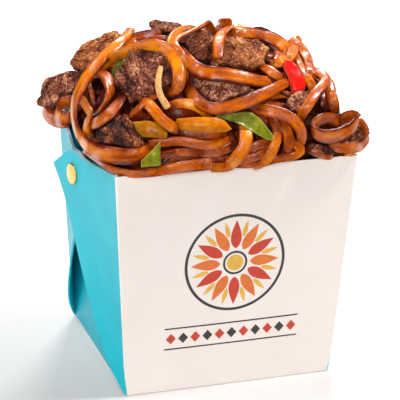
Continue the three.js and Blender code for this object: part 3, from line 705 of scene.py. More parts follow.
def make_emblems():
    """On the front and on the back, a rosette of petals in a ring over a row of lozenges
    between two rules. Each shape has its ink, the height of its middle and its grid."""
    charcoal, red, orange, yellow = range(4)
    shapes = [
        (charcoal, EMBLEM_HEIGHT, ring_grid(ROSETTE_RADIUS - ROSETTE_RULE, ROSETTE_RADIUS)),
        (charcoal, EMBLEM_HEIGHT, ring_grid(*HUB_RING)),
        (yellow, EMBLEM_HEIGHT, ring_grid(*HUB)),
    ]
    for k in range(PETALS):
        turn = 2 * np.pi * k / PETALS
        shapes.append((red if k % 2 else orange, EMBLEM_HEIGHT, petal_grid(turn, *LONG_PETAL)))
        shapes.append((yellow, EMBLEM_HEIGHT, petal_grid(turn + np.pi / PETALS, *SHORT_PETAL)))
    for k in range(LOZENGES):
        middle = (k - (LOZENGES - 1) / 2) * LOZENGE_STEP
        shapes.append((charcoal if k % 2 else red, BAND_HEIGHT, lozenge_grid(middle, *LOZENGE_HALF)))
    for side in (-1, 1):
        shapes.append((charcoal, BAND_HEIGHT + side * RULE_AWAY, rule_grid(*RULE_HALF)))
    inks = [
        printing_ink("ink_charcoal", "#35302d"),
        printing_ink("ink_red", "#d63a1c"),
        printing_ink("ink_orange", "#f07a28"),
        printing_ink("ink_yellow", "#f5c04a"),
    ]
    for name, rear in (("print_front", False), ("print_back", True)):
        patches = [grid_patch(on_front(x, height + z, rear), kind=ink, flip=True)
                   for ink, height, (x, z) in shapes]
        add_piece(name, "card", inks, patches)


# ---------------------------------------------------------------- the mound


def mound_reach(direction):
    """How far the mound reaches from its centre: a body that is squarish from above and
    round from the side, a superellipse of a superellipse."""
    x, y = (np.abs(direction[..., k]) / MOUND_HALF[k] for k in range(2))
    z = np.abs(direction[..., 2]) / np.where(direction[..., 2] > 0, MOUND_UP, MOUND_DOWN)
    flat = (x ** MOUND_SQUARE + y ** MOUND_SQUARE) ** (1 / MOUND_SQUARE)
    return (flat ** MOUND_ROUND + z ** MOUND_ROUND) ** (-1 / MOUND_ROUND)


def over_mound(points):
    """The height of points over the mound, measured from its centre outwards."""
    ray = points - MOUND_CENTRE
    distance = np.linalg.norm(ray, axis=-1)
    return distance - mound_reach(ray / distance[..., None])


def outward(points):
    """The way the mound faces below each point: the slope of the height over it."""
    here = over_mound(points)
    return unit(np.stack([over_mound(points + 0.5 * step) - here for step in np.eye(3)], -1))


def toward(compass, steepness):
    """A direction from the mound's centre, in degrees round from +X and degrees up."""
    turn, rise = np.broadcast_arrays(np.radians(compass), np.radians(steepness))
    return np.stack([np.cos(turn) * np.cos(rise), np.sin(turn) * np.cos(rise), np.sin(rise)], -1)


def on_mound_toward(compass, steepness, lift):
    """The place in a direction that lies `lift` over the mound."""
    direction = toward(compass, steepness)
    return MOUND_CENTRE + direction * (mound_reach(direction) + lift)[..., None]


VIEW_BACK = np.array([
    np.sin(VIEW_TURN) * np.cos(VIEW_RISE),
    -np.cos(VIEW_TURN) * np.cos(VIEW_RISE),
    np.sin(VIEW_RISE),
])
LEVEL_RIGHT = np.array([np.cos(VIEW_TURN), np.sin(VIEW_TURN), 0])
LEVEL_UP = np.cross(VIEW_BACK, LEVEL_RIGHT)
VIEW_RIGHT = LEVEL_RIGHT * np.cos(VIEW_ROLL) + LEVEL_UP * np.sin(VIEW_ROLL)
VIEW_TOP = LEVEL_UP * np.cos(VIEW_ROLL) - LEVEL_RIGHT * np.sin(VIEW_ROLL)
EYE = LEVEL_RIGHT * VIEW_ACROSS + LEVEL_UP * VIEW_UP + VIEW_BACK * VIEW_DISTANCE


def sight(across, rise):
    """The line of sight through a place on the plane through the box."""
    across, rise = np.asarray(across, float)[..., None], np.asarray(rise, float)[..., None]
    return unit(-VIEW_DISTANCE * VIEW_BACK + across * VIEW_RIGHT + rise * VIEW_TOP)


WALL_ROOM = 3.6                  # a noodle's middle stays this far inside the walls
WALL_TOP = HEIGHT + 2            # up to this height


def meets_wall(points):
    """Which points are low enough to meet the walls and not far enough inside them."""
    x, y, z = (points[..., k] for k in range(3))
    outside = (np.abs(x) > half_wide(z) - WALL_ROOM) | (np.abs(y) > half_deep(z) - WALL_ROOM)
    return (z < WALL_TOP) & outside


def on_mound(places):
    """Where the line of sight through each (across, rise, lift) first comes within `lift` of
    the mound, or passes it nearest."""
    places = np.asarray(places, float)
    ray = sight(places[:, 0], places[:, 1])
    reach = np.arange(VIEW_DISTANCE - 130, VIEW_DISTANCE + 110)
    points = EYE + ray[:, None] * reach[None, :, None]
    over = over_mound(points) - places[:, None, 2]
    height = np.where(np.abs(over) < 0.8, 0, np.maximum(over, 0))
    height[meets_wall(points)] = np.inf
    return points[np.arange(len(places)), height.argmin(1)]


# ---------------------------------------------------------------- swept pieces


def through(bends, step):
    """A centripetal Catmull-Rom curve through the bends, cut into even steps. Returns its
    points and the place of each among the bends, 0 at the first."""
    ends = [2 * bends[0] - bends[1], 2 * bends[-1] - bends[-2]]
    p = np.concatenate([ends[:1], bends, ends[1:]])
    knot = np.concatenate([[0], np.cumsum(np.linalg.norm(np.diff(p, axis=0), axis=1) ** 0.5)])
    first = np.arange(len(bends) - 1)
    share = np.linspace(0, 1, 24, endpoint=False)
    t = blend(knot[first + 1][:, None], knot[first + 2][:, None], share[None, :])[..., None]

    def mix(a, b, ta, tb):
        ta, tb = ta[:, None, None], tb[:, None, None]
        return a * (tb - t) / (tb - ta) + b * (t - ta) / (tb - ta)

    k = [knot[first + n] for n in range(4)]
    q = [p[first + n][:, None] for n in range(4)]
    low = [mix(q[n], q[n + 1], k[n], k[n + 1]) for n in range(3)]
    mid = [mix(low[n], low[n + 1], k[n], k[n + 2]) for n in range(2)]
    curve = mix(mid[0], mid[1], k[1], k[2]).reshape(-1, 3)
    curve = np.concatenate([curve, bends[-1:]])
    place = np.append((first[:, None] + share).reshape(-1), len(bends) - 1)
    reach = np.concatenate([[0], np.cumsum(np.linalg.norm(np.diff(curve, axis=0), axis=1))])
    count = max(5, int(reach[-1] / step) + 1)
    even = np.linspace(0, reach[-1], count)
    points = np.stack([np.interp(even, reach, curve[:, n]) for n in range(3)], -1)
    return points, np.interp(even, reach, place)


def smoothed(values, rounds):
    """Values along a path, each averaged with its neighbours a number of times."""
    for _ in range(rounds):
        inner = 0.25 * values[:-2] + 0.5 * values[1:-1] + 0.25 * values[2:]
        values = np.concatenate([values[:1], inner, values[-1:]])
    return values


def ribbon_frame(path, roll, near, axis=None):
    """At each place of a path: the way along it, the way across its broad face and the way
    that face looks. It looks outwards from the mound, turned towards the viewpoint by `near`
    and about the path by its roll; with an axis, its width keeps to that instead."""
    along = unit(np.gradient(path, axis=0))
    if axis is not None:
        width = axis[0] * VIEW_RIGHT + axis[1] * VIEW_TOP + axis[2] * VIEW_BACK
        edge = unit(smoothed(width - (along @ width)[:, None] * along, 4))
        edge = unit(edge - (edge * along).sum(-1, keepdims=True) * along)
        return along, edge, np.cross(edge, along)
    look = unit(outward(path) + near * VIEW_BACK)
    edge = unit(smoothed(unit(np.cross(along, look)), 8))
    edge = unit(edge - (edge * along).sum(-1, keepdims=True) * along)
    face = np.cross(edge, along)
    angle = np.radians(roll)[:, None]
    cos, sin = np.cos(angle), np.sin(angle)
    return along, edge * cos - face * sin, face * cos + edge * sin


def bends_between(noodle, spot, key):
    """A value given at each bend, at places between them."""
    return np.interp(spot, np.arange(len(noodle[key])), noodle[key])


def noodle_thick(wide):
    """A noodle's thickness from its width."""
    return NOODLE_THICK + NOODLE_THICKER * wide


CAP_SIZE = np.array([0.3, 0.62, 0.86, 0.97])     # an end's rings, as shares of the section
CAP_AHEAD = np.array([1.0, 0.86, 0.55, 0.2])     # and how far they lie past it


def swept(path, frame_at, half_wide_at, half_thick_at, power=3.2, sides=20, cap=1.5, bow=0.0,
          **fields):
    """A closed strip along a path. Its section is the superellipse |x|^power + |y|^power = 1
    on the half width and half thickness, bent so that its edges drop by `bow` times the half
    width, and its ends are rounded over `cap` millimetres. The field rim is 1 on the two
    narrow edges and 0 on the broad faces; run and across are millimetres along and across."""
    along, edge, face = frame_at
    head, tail = np.zeros(len(CAP_SIZE), int), np.full(len(CAP_SIZE), len(path) - 1)
    pick = np.concatenate([head, np.arange(len(path)), tail])
    size = np.concatenate([CAP_SIZE, np.ones(len(path)), CAP_SIZE[::-1]])[:, None]
    ahead = np.concatenate([-CAP_AHEAD, np.zeros(len(path)), CAP_AHEAD[::-1]])[:, None] * cap
    centre = path[pick] + ahead * along[pick]
    angle = np.arange(sides) * 2 * np.pi / sides
    x = np.sign(np.cos(angle)) * np.abs(np.cos(angle)) ** (2 / power)
    y = np.sign(np.sin(angle)) * np.abs(np.sin(angle)) ** (2 / power)
    wide = (size * half_wide_at[pick][:, None] * x)[..., None]
    thick = (size * half_thick_at[pick][:, None] * y)[..., None]
    drop = bow * np.abs(wide) * np.abs(x)[:, None]
    rings = centre[:, None] + wide * edge[pick][:, None] + (thick - drop) * face[pick][:, None]
    rim = np.abs(x) ** 6 * (1 - np.abs(y) ** 3) + 0 * size
    fields = {name: np.broadcast_to(value, len(path))[pick][:, None] for name, value in fields.items()}
    run = np.concatenate([[0], np.cumsum(np.linalg.norm(np.diff(centre, axis=0), axis=1))])[:, None]
    return closed_patch(rings, rim=rim, run=run, across=wide[..., 0], **fields)


# ---------------------------------------------------------------- noodles

# The noodles that show from the serving side. Each bend is [across, rise, height over the
# mound, roll, width]. "near" is how much a noodle's face turns towards the viewpoint, 1 where
# it isn't given; a coiled one keeps its width along an axis [across, rise, towards] instead.
LAID_NOODLES = {
    "sweep_left": {"near": 2.0, "bends": [
        [-32.3, 79.5, 7, 0, 4.4], [-36.5, 74.5, 8, 0, 5], [-42.5, 69, 8, 0, 5.4],
        [-48.7, 62.8, 9, 0, 5.8], [-54, 55.5, 9, 15, 6], [-57.8, 48, 9, 35, 6.2], [-59, 41, 8, 50, 6.4],
        [-58.3, 35, 7.5, 50, 6.6], [-55.5, 28.5, 7, 40, 7], [-50.5, 24, 6, 25, 7.4],
        [-44, 21.5, 5, 10, 7.6], [-37, 20.3, 4.5, 5, 7.6], [-30, 20.6, 4, 5, 7], [-25, 23.5, 2, 10, 6],
        [-20, 28, -2, 10, 5]]},
    "over_slice": {"bends": [
        [-49, 57, -1, 60, 5], [-46, 62, 4, 65, 5], [-41, 66, 7, 65, 5], [-34, 69.5, 10, 65, 5],
        [-27, 71.8, 11, 60, 5], [-20, 72, 11.5, 35, 5.2], [-15, 70, 11, 15, 5.2],
        [-11.8, 65.5, 10.5, 5, 5.2], [-10, 60, 10, 0, 5.6], [-9.9, 55, 8, 0, 6], [-12, 51, 4, 10, 6],
        [-17, 49.5, -2, 20, 6]]},
    "left_loop": {"axis": [-0.4, -0.5, 1], "bends": [
        [-50.5, 55, 1, 0, 5.4], [-47.5, 58.5, 5, 0, 5.6], [-44.3, 58, 7, 0, 5.4],
        [-42.3, 54, 7.5, 0, 5], [-42.2, 49.5, 7, 0, 4.8], [-44.5, 44.5, 6, 0, 4.6],
        [-49.5, 40, -1, 0, 4.6]]},
    "left_loop_inner": {"bends": [
        [-52, 58, 0, 40, 4], [-51, 52, 3, 50, 4], [-49.8, 46.5, 3, 50, 4], [-49, 41, -1, 50, 4]]},
    "left_band": {"bends": [
        [-34.5, 50.5, -2, 0, 4.5], [-37.5, 46, 3, 0, 5], [-41.5, 41, 6, 0, 5.4],
        [-46.5, 37, 6.5, 0, 5.4], [-52, 34.8, 4, 0, 4.6]]},
    "left_knot": {"axis": [0.5, 0.2, 1], "bends": [
        [-57, 43, 1, 0, 4], [-55.5, 46.8, 5, 0, 4], [-52.8, 43.5, 6, 0, 4], [-51, 39, 6, 0, 4],
        [-53, 35.5, 6.5, 0, 4.5], [-52.5, 31.5, 5, 0, 4.5], [-50, 27.5, -1, 0, 4]]},
    "rim_band_left": {"axis": [0.3, 1.0, 0.8], "bends": [
        [-70, 47, -1, 0, 5.6], [-72.5, 43, 4, 0, 6], [-71, 39.5, 7, 0, 6.4], [-67, 37.2, 8, 0, 6.6],
        [-62.5, 37, 6, 0, 6.4], [-58.5, 41, -2, 0, 5.6]]},
    "rim_ring_left": {"axis": [0.4, 1.0, 0.8], "bends": [
        [-58, 42, -2, 0, 5.6], [-60.5, 46, 4, 0, 5.6], [-64.5, 44.8, 6, 0, 5.8], [-66.5, 41.5, 8, 0, 6],
        [-65, 38.6, 9, 0, 6.4], [-61.5, 38.2, 7, 0, 6.4], [-58, 42, -1, 0, 5.6]]},
    "rim_fill_left": {"bends": [
        [-56, 46, -3, 0, 6], [-60, 46.5, -1, 0, 6], [-65, 45.5, 1, 0, 6], [-69, 43, 2, 0, 6],
        [-68, 39.5, 2, 0, 6], [-63, 38.5, 1, 0, 6], [-57, 38.5, -3, 0, 6]]},
    "rear_band": {"bends": [
        [-27, 72.5, -2, 0, 3.5], [-22, 75, 2, 0, 3], [-17, 75.6, 2, 0, 3], [-11, 75, -2, 0, 3.5]]},
    "crown_twist": {"bends": [
        [6, 74, -2, 60, 5], [6, 79, 4, 70, 5], [4, 82, 7, 70, 5], [-0.5, 80.3, 8, 60, 4.6],
        [-6, 78, 8.5, 50, 4.4], [-11, 75.5, 8.5, 40, 4.6], [-12.5, 72.3, 9.5, 10, 4.4],
        [-9.8, 69, 10, 0, 4.2], [-7.8, 64.5, 8, 20, 3.6], [-7.2, 58.5, 3, 30, 3.6],
        [-8, 53, -2, 30, 3.6]]},
    "crown_back": {"bends": [
        [-14, 73.5, 5, 40, 3.4], [-12.3, 76.8, 6, 30, 3.4], [-8.5, 79.6, 5, 20, 3], [-3, 80, 2, 20, 3],
        [2, 78, -2, 20, 3]]},
    "short_end": {"near": 2.0, "bends": [
        [15.3, 80.8, 3, 20, 1.8], [12.5, 79.8, 6, 20, 3], [9.6, 77, 8, 10, 4.6], [8.6, 73, 9, 0, 5.2],
        [8.6, 69.5, 9.5, 0, 5.2], [8.4, 67.2, 9, 0, 4.6]]},
    "crown_right": {"near": 3.0, "bends": [
        [10, 75.5, -2, 0, 4.4], [15, 76.8, 3, 0, 4.8], [20, 77.3, 4.5, 0, 5], [26, 77.2, 5, 0, 5.4],
        [32, 75.8, 5.5, 0, 5.8], [37.5, 73, 5.5, 0, 5.8], [41.5, 68.8, 4, 10, 5.4],
        [42.5, 64.5, -1, 20, 5]]},
    "crown_inner": {"near": 2.0, "bends": [
        [30, 73, -2, 0, 5], [34.5, 71.5, 1, 0, 6], [37.2, 68, 1.5, 0, 6.4], [36.5, 64, 1, 0, 6],
        [33, 61, -2, 0, 5]]},
    "crown_turn": {"bends": [
        [46, 75, -1, 30, 4], [44.5, 73, 5, 20, 4.4], [43.2, 69.5, 6, 10, 4.4], [41.8, 66, 5, 10, 4],
        [40, 62.5, -1, 20, 4]]},
    "right_shoulder": {"bends": [
        [43, 74.5, -2, 30, 4.5], [46.5, 71.5, 3, 20, 5], [49.3, 67.5, 4.5, 20, 4.8],
        [50.8, 63, 4.5, 20, 4.6], [51.5, 58.5, 4, 20, 4.4], [52.5, 54, -1, 20, 4.4]]},
    "behind_red": {"bends": [
        [43.5, 69.5, -1, 20, 4], [45.8, 64.5, 3, 10, 3.6], [48.3, 60, 3, 10, 3.6],
        [50.8, 56, 3.5, 10, 3.8], [52.8, 51.5, 1, 10, 4], [53.5, 48, -2, 10, 4]]},
    "front_arch": {"bends": [
        [-9, 70, -1, 40, 4], [-6, 66, 5, 30, 5], [-2.5, 61.6, 8, 15, 6.2], [3, 59.4, 8.5, 5, 6.4],
        [9, 58.8, 9, 0, 6.6], [15, 58, 9, 0, 6.6], [21, 56.8, 8.5, 0, 6.6], [27, 55.6, 7, 0, 5.8],
        [32.5, 55.4, 3, 0, 5], [37, 55.8, -2, 0, 4.5]]},
    "front_cradle": {"bends": [
        [-5, 58, -2, 60, 5], [-5.4, 52.5, 3, 50, 5.4], [-2.2, 47.3, 6, 30, 5.6], [3, 43.4, 7, 15, 5.6],
        [10, 42.7, 7.5, 5, 5.4], [17, 44.3, 8, 5, 5.6], [24, 46.6, 8.5, 5, 6],
        [30.5, 49.6, 8.5, 5, 5.6], [36, 52.6, 8, 5, 5], [40.5, 54.8, 5, 10, 3.5]]},
    "under_curl": {"bends": [
        [26, 63.5, -2, 10, 4], [31, 61.2, 3, 5, 4], [35, 58.5, 5, 0, 4.6], [39, 55.5, 2, 0, 4],
        [42, 53, -2, 0, 4]]},
    "pepper_side": {"bends": [
        [33, 63.5, 0, 20, 3], [36.5, 63.6, 5, 10, 4.6], [39.5, 65.6, 5, 10, 4], [42.5, 68, 1, 10, 3]]},
    "right_wrinkle": {"bends": [
        [51.5, 61.5, -1, 30, 5], [54.5, 59.8, 4, 30, 5.6], [57.8, 57.5, 5, 30, 5],
        [57.5, 54, 6, 20, 4.6], [54.3, 50.2, 7, 20, 4.6], [51.8, 46.6, 7, 10, 4.8],
        [49.3, 42.6, 6.5, 10, 4.8], [46.8, 38.8, 3, 10, 4.6], [46, 35, -2, 10, 4]]},
    "right_edge": {"bends": [
        [58, 58, 1, 40, 4], [60.3, 54, 4, 40, 4.6], [61, 49.5, 5, 35, 5], [62, 45.5, 4.5, 30, 5],
        [63.5, 41, 2, 20, 4.5], [65, 37, -2, 20, 4]]},
    "right_face": {"bends": [
        [56, 54, 0, 0, 5], [58.2, 50, 2.5, 0, 5.5], [58.5, 45, 2, 0, 5.5], [58, 40, -2, 0, 5]]},
    "right_inner": {"bends": [
        [34, 48.5, 2, 0, 3.5], [39, 49.2, 3, 0, 3.5], [43, 48.6, 2, 0, 3], [46, 47, -2, 0, 3]]},
    "vee_left": {"bends": [
        [-21, 48, 2, 40, 3.4], [-25.5, 45.5, 5, 40, 3], [-29.5, 42, 5, 40, 3], [-33.5, 37.8, 2, 30, 3],
        [-36, 34, -2, 30, 3]]},
    "vee_right": {"bends": [
        [-27.5, 45.5, -1, 20, 4], [-24.5, 45, 5, 10, 4.6], [-21.2, 41.5, 6.5, 5, 5],
        [-17.5, 37.3, 6.5, 5, 5], [-13.5, 34.3, 5, 5, 5], [-9, 32.2, 0, 0, 4.6], [-5, 31, -2, 0, 4]]},
    "mid_arch": {"bends": [
        [-17, 41, -2, 30, 4], [-13, 44, 3, 20, 4], [-7.5, 45, 5, 10, 4.2], [-2, 43.8, 5.5, 10, 4],
        [2.5, 40.5, 4, 10, 4], [5, 36.5, -2, 10, 4]]},
    "mid_low": {"bends": [
        [-16, 37.5, -1, 20, 4.5], [-11, 40.5, 3, 10, 4.6], [-6, 41, 3.5, 10, 4], [-1, 40, 2, 10, 3.6],
        [3, 38, -2, 10, 3.6]]},
    "cross_low": {"bends": [
        [-13, 33, -1, 10, 3.6], [-6, 30.8, 3, 10, 3.8], [1, 30, 3.5, 10, 3.8], [8, 30.6, 3, 10, 3.8],
        [14, 32, -2, 10, 3.6]]},
    "lower_top": {"bends": [
        [-28, 24.5, -2, 20, 4], [-22, 26.2, 2, 10, 4], [-15, 27, 3.5, 10, 4], [-9, 27.4, 4, 10, 4.2],
        [-3, 26.2, 4.2, 10, 4.4], [3, 25.4, 4.2, 10, 4.4], [9, 26.4, 3.5, 10, 4.4], [15, 28.5, 0, 0, 4],
        [18, 30, -2, 0, 4]]},
    "lower_mid": {"bends": [
        [-24, 19.5, -2, 10, 3.4], [-17, 21, 2.5, 10, 3.6], [-9, 22.2, 3.5, 10, 3.6],
        [-1, 22.2, 4, 10, 3.8], [6, 22.2, 4, 10, 4], [12, 23.6, 3, 10, 4], [17, 26.5, -2, 10, 4]]},
    "low_band": {"bends": [
        [-22, 18.5, -2, 0, 3.5], [-10, 19.2, 1, 0, 3.5], [4, 20, 1.5, 0, 3.5], [16, 20, -2, 0, 3.5]]},
    "rim_front": {"bends": [
        [-53, 22, -2, 50, 4], [-48, 18.5, 2, 40, 4], [-43, 15.3, 4, 30, 4], [-37, 12.9, 4.5, 20, 3.8],
        [-30, 12.1, 4.5, 10, 3.8], [-23, 12.7, 4.5, 10, 4], [-16, 14, 4.5, 5, 4.6],
        [-9, 15.3, 4.8, 0, 5.4], [-2, 16.4, 4.8, 0, 6], [4, 16.9, 4.5, 0, 5.6]]},
    "drop_front": {"bends": [
        [19.5, 38, -2, 10, 5], [21, 33, 4, 0, 5.6], [21.5, 29, 6, 0, 5.8], [20.8, 25, 7, 0, 5.8],
        [18.5, 21.3, 6.5, 0, 5.8], [15.5, 18, 5.5, 0, 5.6], [11.5, 15.8, 3, 10, 5],
        [6, 15.5, -1, 10, 4.5]]},
    "right_hook": {"bends": [
        [22, 41.5, -2, 10, 5], [26.5, 42.4, 4, 5, 5], [31.5, 41.6, 6.5, 0, 5.6],
        [37, 40.5, 7.5, 0, 5.6], [41.8, 38.3, 8, 0, 5.4], [45.3, 35.3, 8, 5, 5.2],
        [47.2, 31.5, 7.5, 15, 4.6], [47, 27.5, 5, 20, 4.4], [44.5, 24, 0, 10, 4.4]]},
    "low_loop": {"bends": [
        [41, 27.5, 2, 0, 4], [45, 26, 4.5, 0, 4.2], [47.2, 23.4, 5, 0, 4], [44.5, 20.9, 4, 0, 3.8],
        [39, 19.6, 3.5, 0, 3.6], [34, 18.6, 2, 0, 3.4], [29, 17, -1, 0, 3.4]]},
    "hook_inner": {"bends": [
        [31, 39.5, -2, 10, 4], [34.3, 36, 3, 5, 4], [36, 32.5, 4.5, 0, 4.2], [35.8, 28.5, 6, 0, 4.4],
        [34.5, 24.5, 6.5, 0, 4.4], [32.6, 20.8, 6, 0, 4.4], [30, 17.8, 4, 0, 4], [26, 16.2, -1, 0, 4]]},
    "hook_middle": {"bends": [
        [37.5, 38.5, -1, 10, 5], [39.6, 34.5, 4, 5, 5.6], [41, 30.5, 5, 0, 5.6],
        [41.5, 26.5, 4.5, 0, 5], [40, 22.5, 1, 0, 5], [37, 19.5, -2, 0, 4.5]]},
    "low_centre": {"bends": [
        [35, 27, -2, 0, 4], [31, 26.3, 2.5, 0, 4], [27, 26, 3.5, 0, 4], [24, 23.5, 2, 0, 4],
        [22, 20, -2, 0, 4]]},
    "low_second": {"bends": [
        [34, 24, -2, 0, 4], [29.5, 21.8, 3, 0, 4], [24.5, 19.8, 3.2, 0, 4], [19, 18.6, -1, 0, 4]]},
    "low_right": {"bends": [
        [35, 20.5, -1, 0, 3.6], [29.5, 17.6, 3, 0, 3.6], [23.5, 16.7, 3, 0, 3.4],
        [17, 16.6, -1, 0, 3.4]]},
    "right_low": {"bends": [
        [48, 25, -2, 10, 3], [52, 22.8, 2, 0, 3], [57, 20.8, 3.5, 0, 3], [62, 20.4, 3.5, 0, 3],
        [67, 21, 2.5, 0, 3], [71, 22, -2, 0, 3]]},
    "right_ring": {"axis": [-0.3, 1.3, 0.7], "bends": [
        [64.5, 34.5, -1, 0, 5.6], [66.5, 37.3, 5, 0, 5.8], [70.5, 39.3, 8, 0, 5.8],
        [73.3, 37.6, 9, 0, 6], [71.5, 34.6, 9, 0, 6.4], [66.5, 31.3, 8.5, 0, 6.4],
        [60.5, 29.6, 8, 0, 6.4], [55, 30.6, 7, 0, 6], [52.6, 33.6, 6.5, 0, 5.6],
        [54.3, 36.6, 5.5, 0, 5.4], [59, 38.2, 5, 0, 5.4], [63.5, 37, 4.5, 0, 5.4],
        [66.5, 34, 0, 0, 5]]},
    "right_outer": {"axis": [-0.1, 1.2, 0.8], "bends": [
        [57, 26.5, -2, 0, 4.6], [62, 25.2, 4.5, 0, 4.8], [67, 24.4, 7.5, 0, 5], [72, 24.4, 8.5, 0, 5],
        [76.2, 26.4, 8.5, 0, 4.6], [77.8, 30, 8, 0, 4.4], [77, 33.4, 6.5, 0, 4.4],
        [75, 36.5, 3, 0, 4]]},
    "ring_back_low": {"bends": [
        [48, 30, -3, 0, 6], [54, 29.5, -0.5, 0, 6.4], [60, 29, 1, 0, 6.4], [66, 28.5, 2, 0, 6.4],
        [71, 28.5, 1, 0, 6.4], [74.5, 31, -2, 0, 6]]},
    "ring_back_high": {"bends": [
        [49, 36.5, -3, 0, 6], [55, 35.5, 0, 0, 6.4], [61, 34.5, 1, 0, 6.4], [67, 34, 1.5, 0, 6.4],
        [72, 34.5, -1, 0, 6]]},
}

FAR_TIERS = [[4, 4], [19, 3], [34, 3], [52, 2]]     # [degrees up, how many noodles]
FAR_START, FAR_SPAN = -28.0, 205.0     # they run from here this many degrees round from +X
FAR_BENDS = 7
FAR_WIDE = 6.2
FAR_LOWEST = HEIGHT + 3.5


def laid_noodles():
    """The noodles of the serving side, as bends with their rolls and widths. Each noodle also
    says how freely it gives way to others and whether it is laid to be seen."""
    for noodle in LAID_NOODLES.values():
        bends = np.array(noodle["bends"], float)
        yield {"bends": on_mound(bends[:, :3]), "rolls": bends[:, 3], "wides": bends[:, 4],
               "axis": noodle.get("axis"), "near": noodle.get("near", 1.0), "loose": 0.5, "seen": True}


def far_noodles():
    """Tiers of noodles that run round the far side of the mound: each climbs evenly by its tilt
    with one sine wave on it, and stands over the mound most in its middle."""
    random = draws(41)
    for steepness, count in FAR_TIERS:
        share = FAR_SPAN / count
        for i in range(count):
            span = share * (1.05 + 0.2 * random())
            tilt = 26 * (random() - 0.5)
            wave = 3 + 5 * random()
            phase = 7 * random()
            lift = 1.5 + 3 * random()
            t = np.linspace(0, 1, FAR_BENDS)
            up = steepness + tilt * (t - 0.5) + wave * np.sin(2 * np.pi * t + phase)
            height = blend(-2, lift, np.sin(np.pi * t) ** 0.5)
            points = on_mound_toward(FAR_START + share * i + span * t, np.maximum(up, -2), height)
            points[:, 2] = np.maximum(points[:, 2], FAR_LOWEST)
            rolls = np.interp(t, [0, 0.5, 1], [20 * random(), 0, 20 * random()])
            yield {"bends": points, "rolls": rolls, "wides": np.full(FAR_BENDS, FAR_WIDE), "axis": None,
                   "near": 0.0, "loose": 0.5, "seen": False}


UNDER_COUNT = 110
UNDER_STEPS = 13
UNDER_STEP = 5.0                 # millimetres in a step
UNDER_LOWEST = HEIGHT + 3
GOLDEN_ANGLE = 137.508           # turning by this between starts spreads them evenly


def under_noodles():
    """Noodles that wander over the whole mound and fill what the laid ones leave: each starts
    at a seeded place and walks in even steps on a heading that turns slowly."""
    rng = np.random.default_rng(7)
    count = UNDER_COUNT
    order = np.arange(count)
    compass = order * GOLDEN_ANGLE + rng.uniform(-12, 12, count)
    steepness = np.degrees(np.arcsin(blend(0.03, 0.98, (order + 0.5) / count)))
    heading = rng.uniform(0, 2 * np.pi, count)
    near_level = rng.choice([0, np.pi], count) + rng.normal(0, 0.25, count)
    heading = np.where(steepness < 25, near_level, heading)
    bend = rng.normal(0, 0.16, count)
    swing = rng.uniform(0.1, 0.5, count)
    phase = rng.uniform(0, 2 * np.pi, count)
    far = ease(-0.15, 0.35, -(toward(compass, 0) @ VIEW_BACK))
    high = blend(rng.uniform(-3.6, -0.6, count), rng.uniform(-2.5, 4.0, count), far)
    point = on_mound_toward(compass, steepness, high)
    path = []
    for k in range(UNDER_STEPS):
        path.append(point)
        normal = outward(point)
        level = unit(np.cross([0, 0, 1.0], normal))
        uphill = np.cross(normal, level)
        heading = heading + bend + swing * np.cos(0.9 * k + phase)
        step = np.cos(heading)[:, None] * level + np.sin(heading)[:, None] * uphill
        direction = unit(point + UNDER_STEP * step - MOUND_CENTRE)
        dip = np.where(k in (0, UNDER_STEPS - 2), 1.5, 0)
        point = MOUND_CENTRE + direction * (mound_reach(direction) + high - dip)[:, None]
        low = point[:, 2] < UNDER_LOWEST
        point[low, 2] = UNDER_LOWEST
        heading[low] = np.where(np.cos(heading[low]) > 0, 0.15, np.pi - 0.15)
    paths = np.stack(path, 1)
    for i in range(count):
        length = rng.integers(6, UNDER_STEPS + 1)
        rolls = smoothed(rng.normal(0, 30, length), 3) + (70 if rng.random() < 0.18 else 0)
        yield {"bends": paths[i, :length], "rolls": rolls, "wides": np.full(length, rng.uniform(4.6, 6.4)),
               "axis": None, "near": 0.3 * (1 - far[i]), "loose": 1.0, "seen": False}
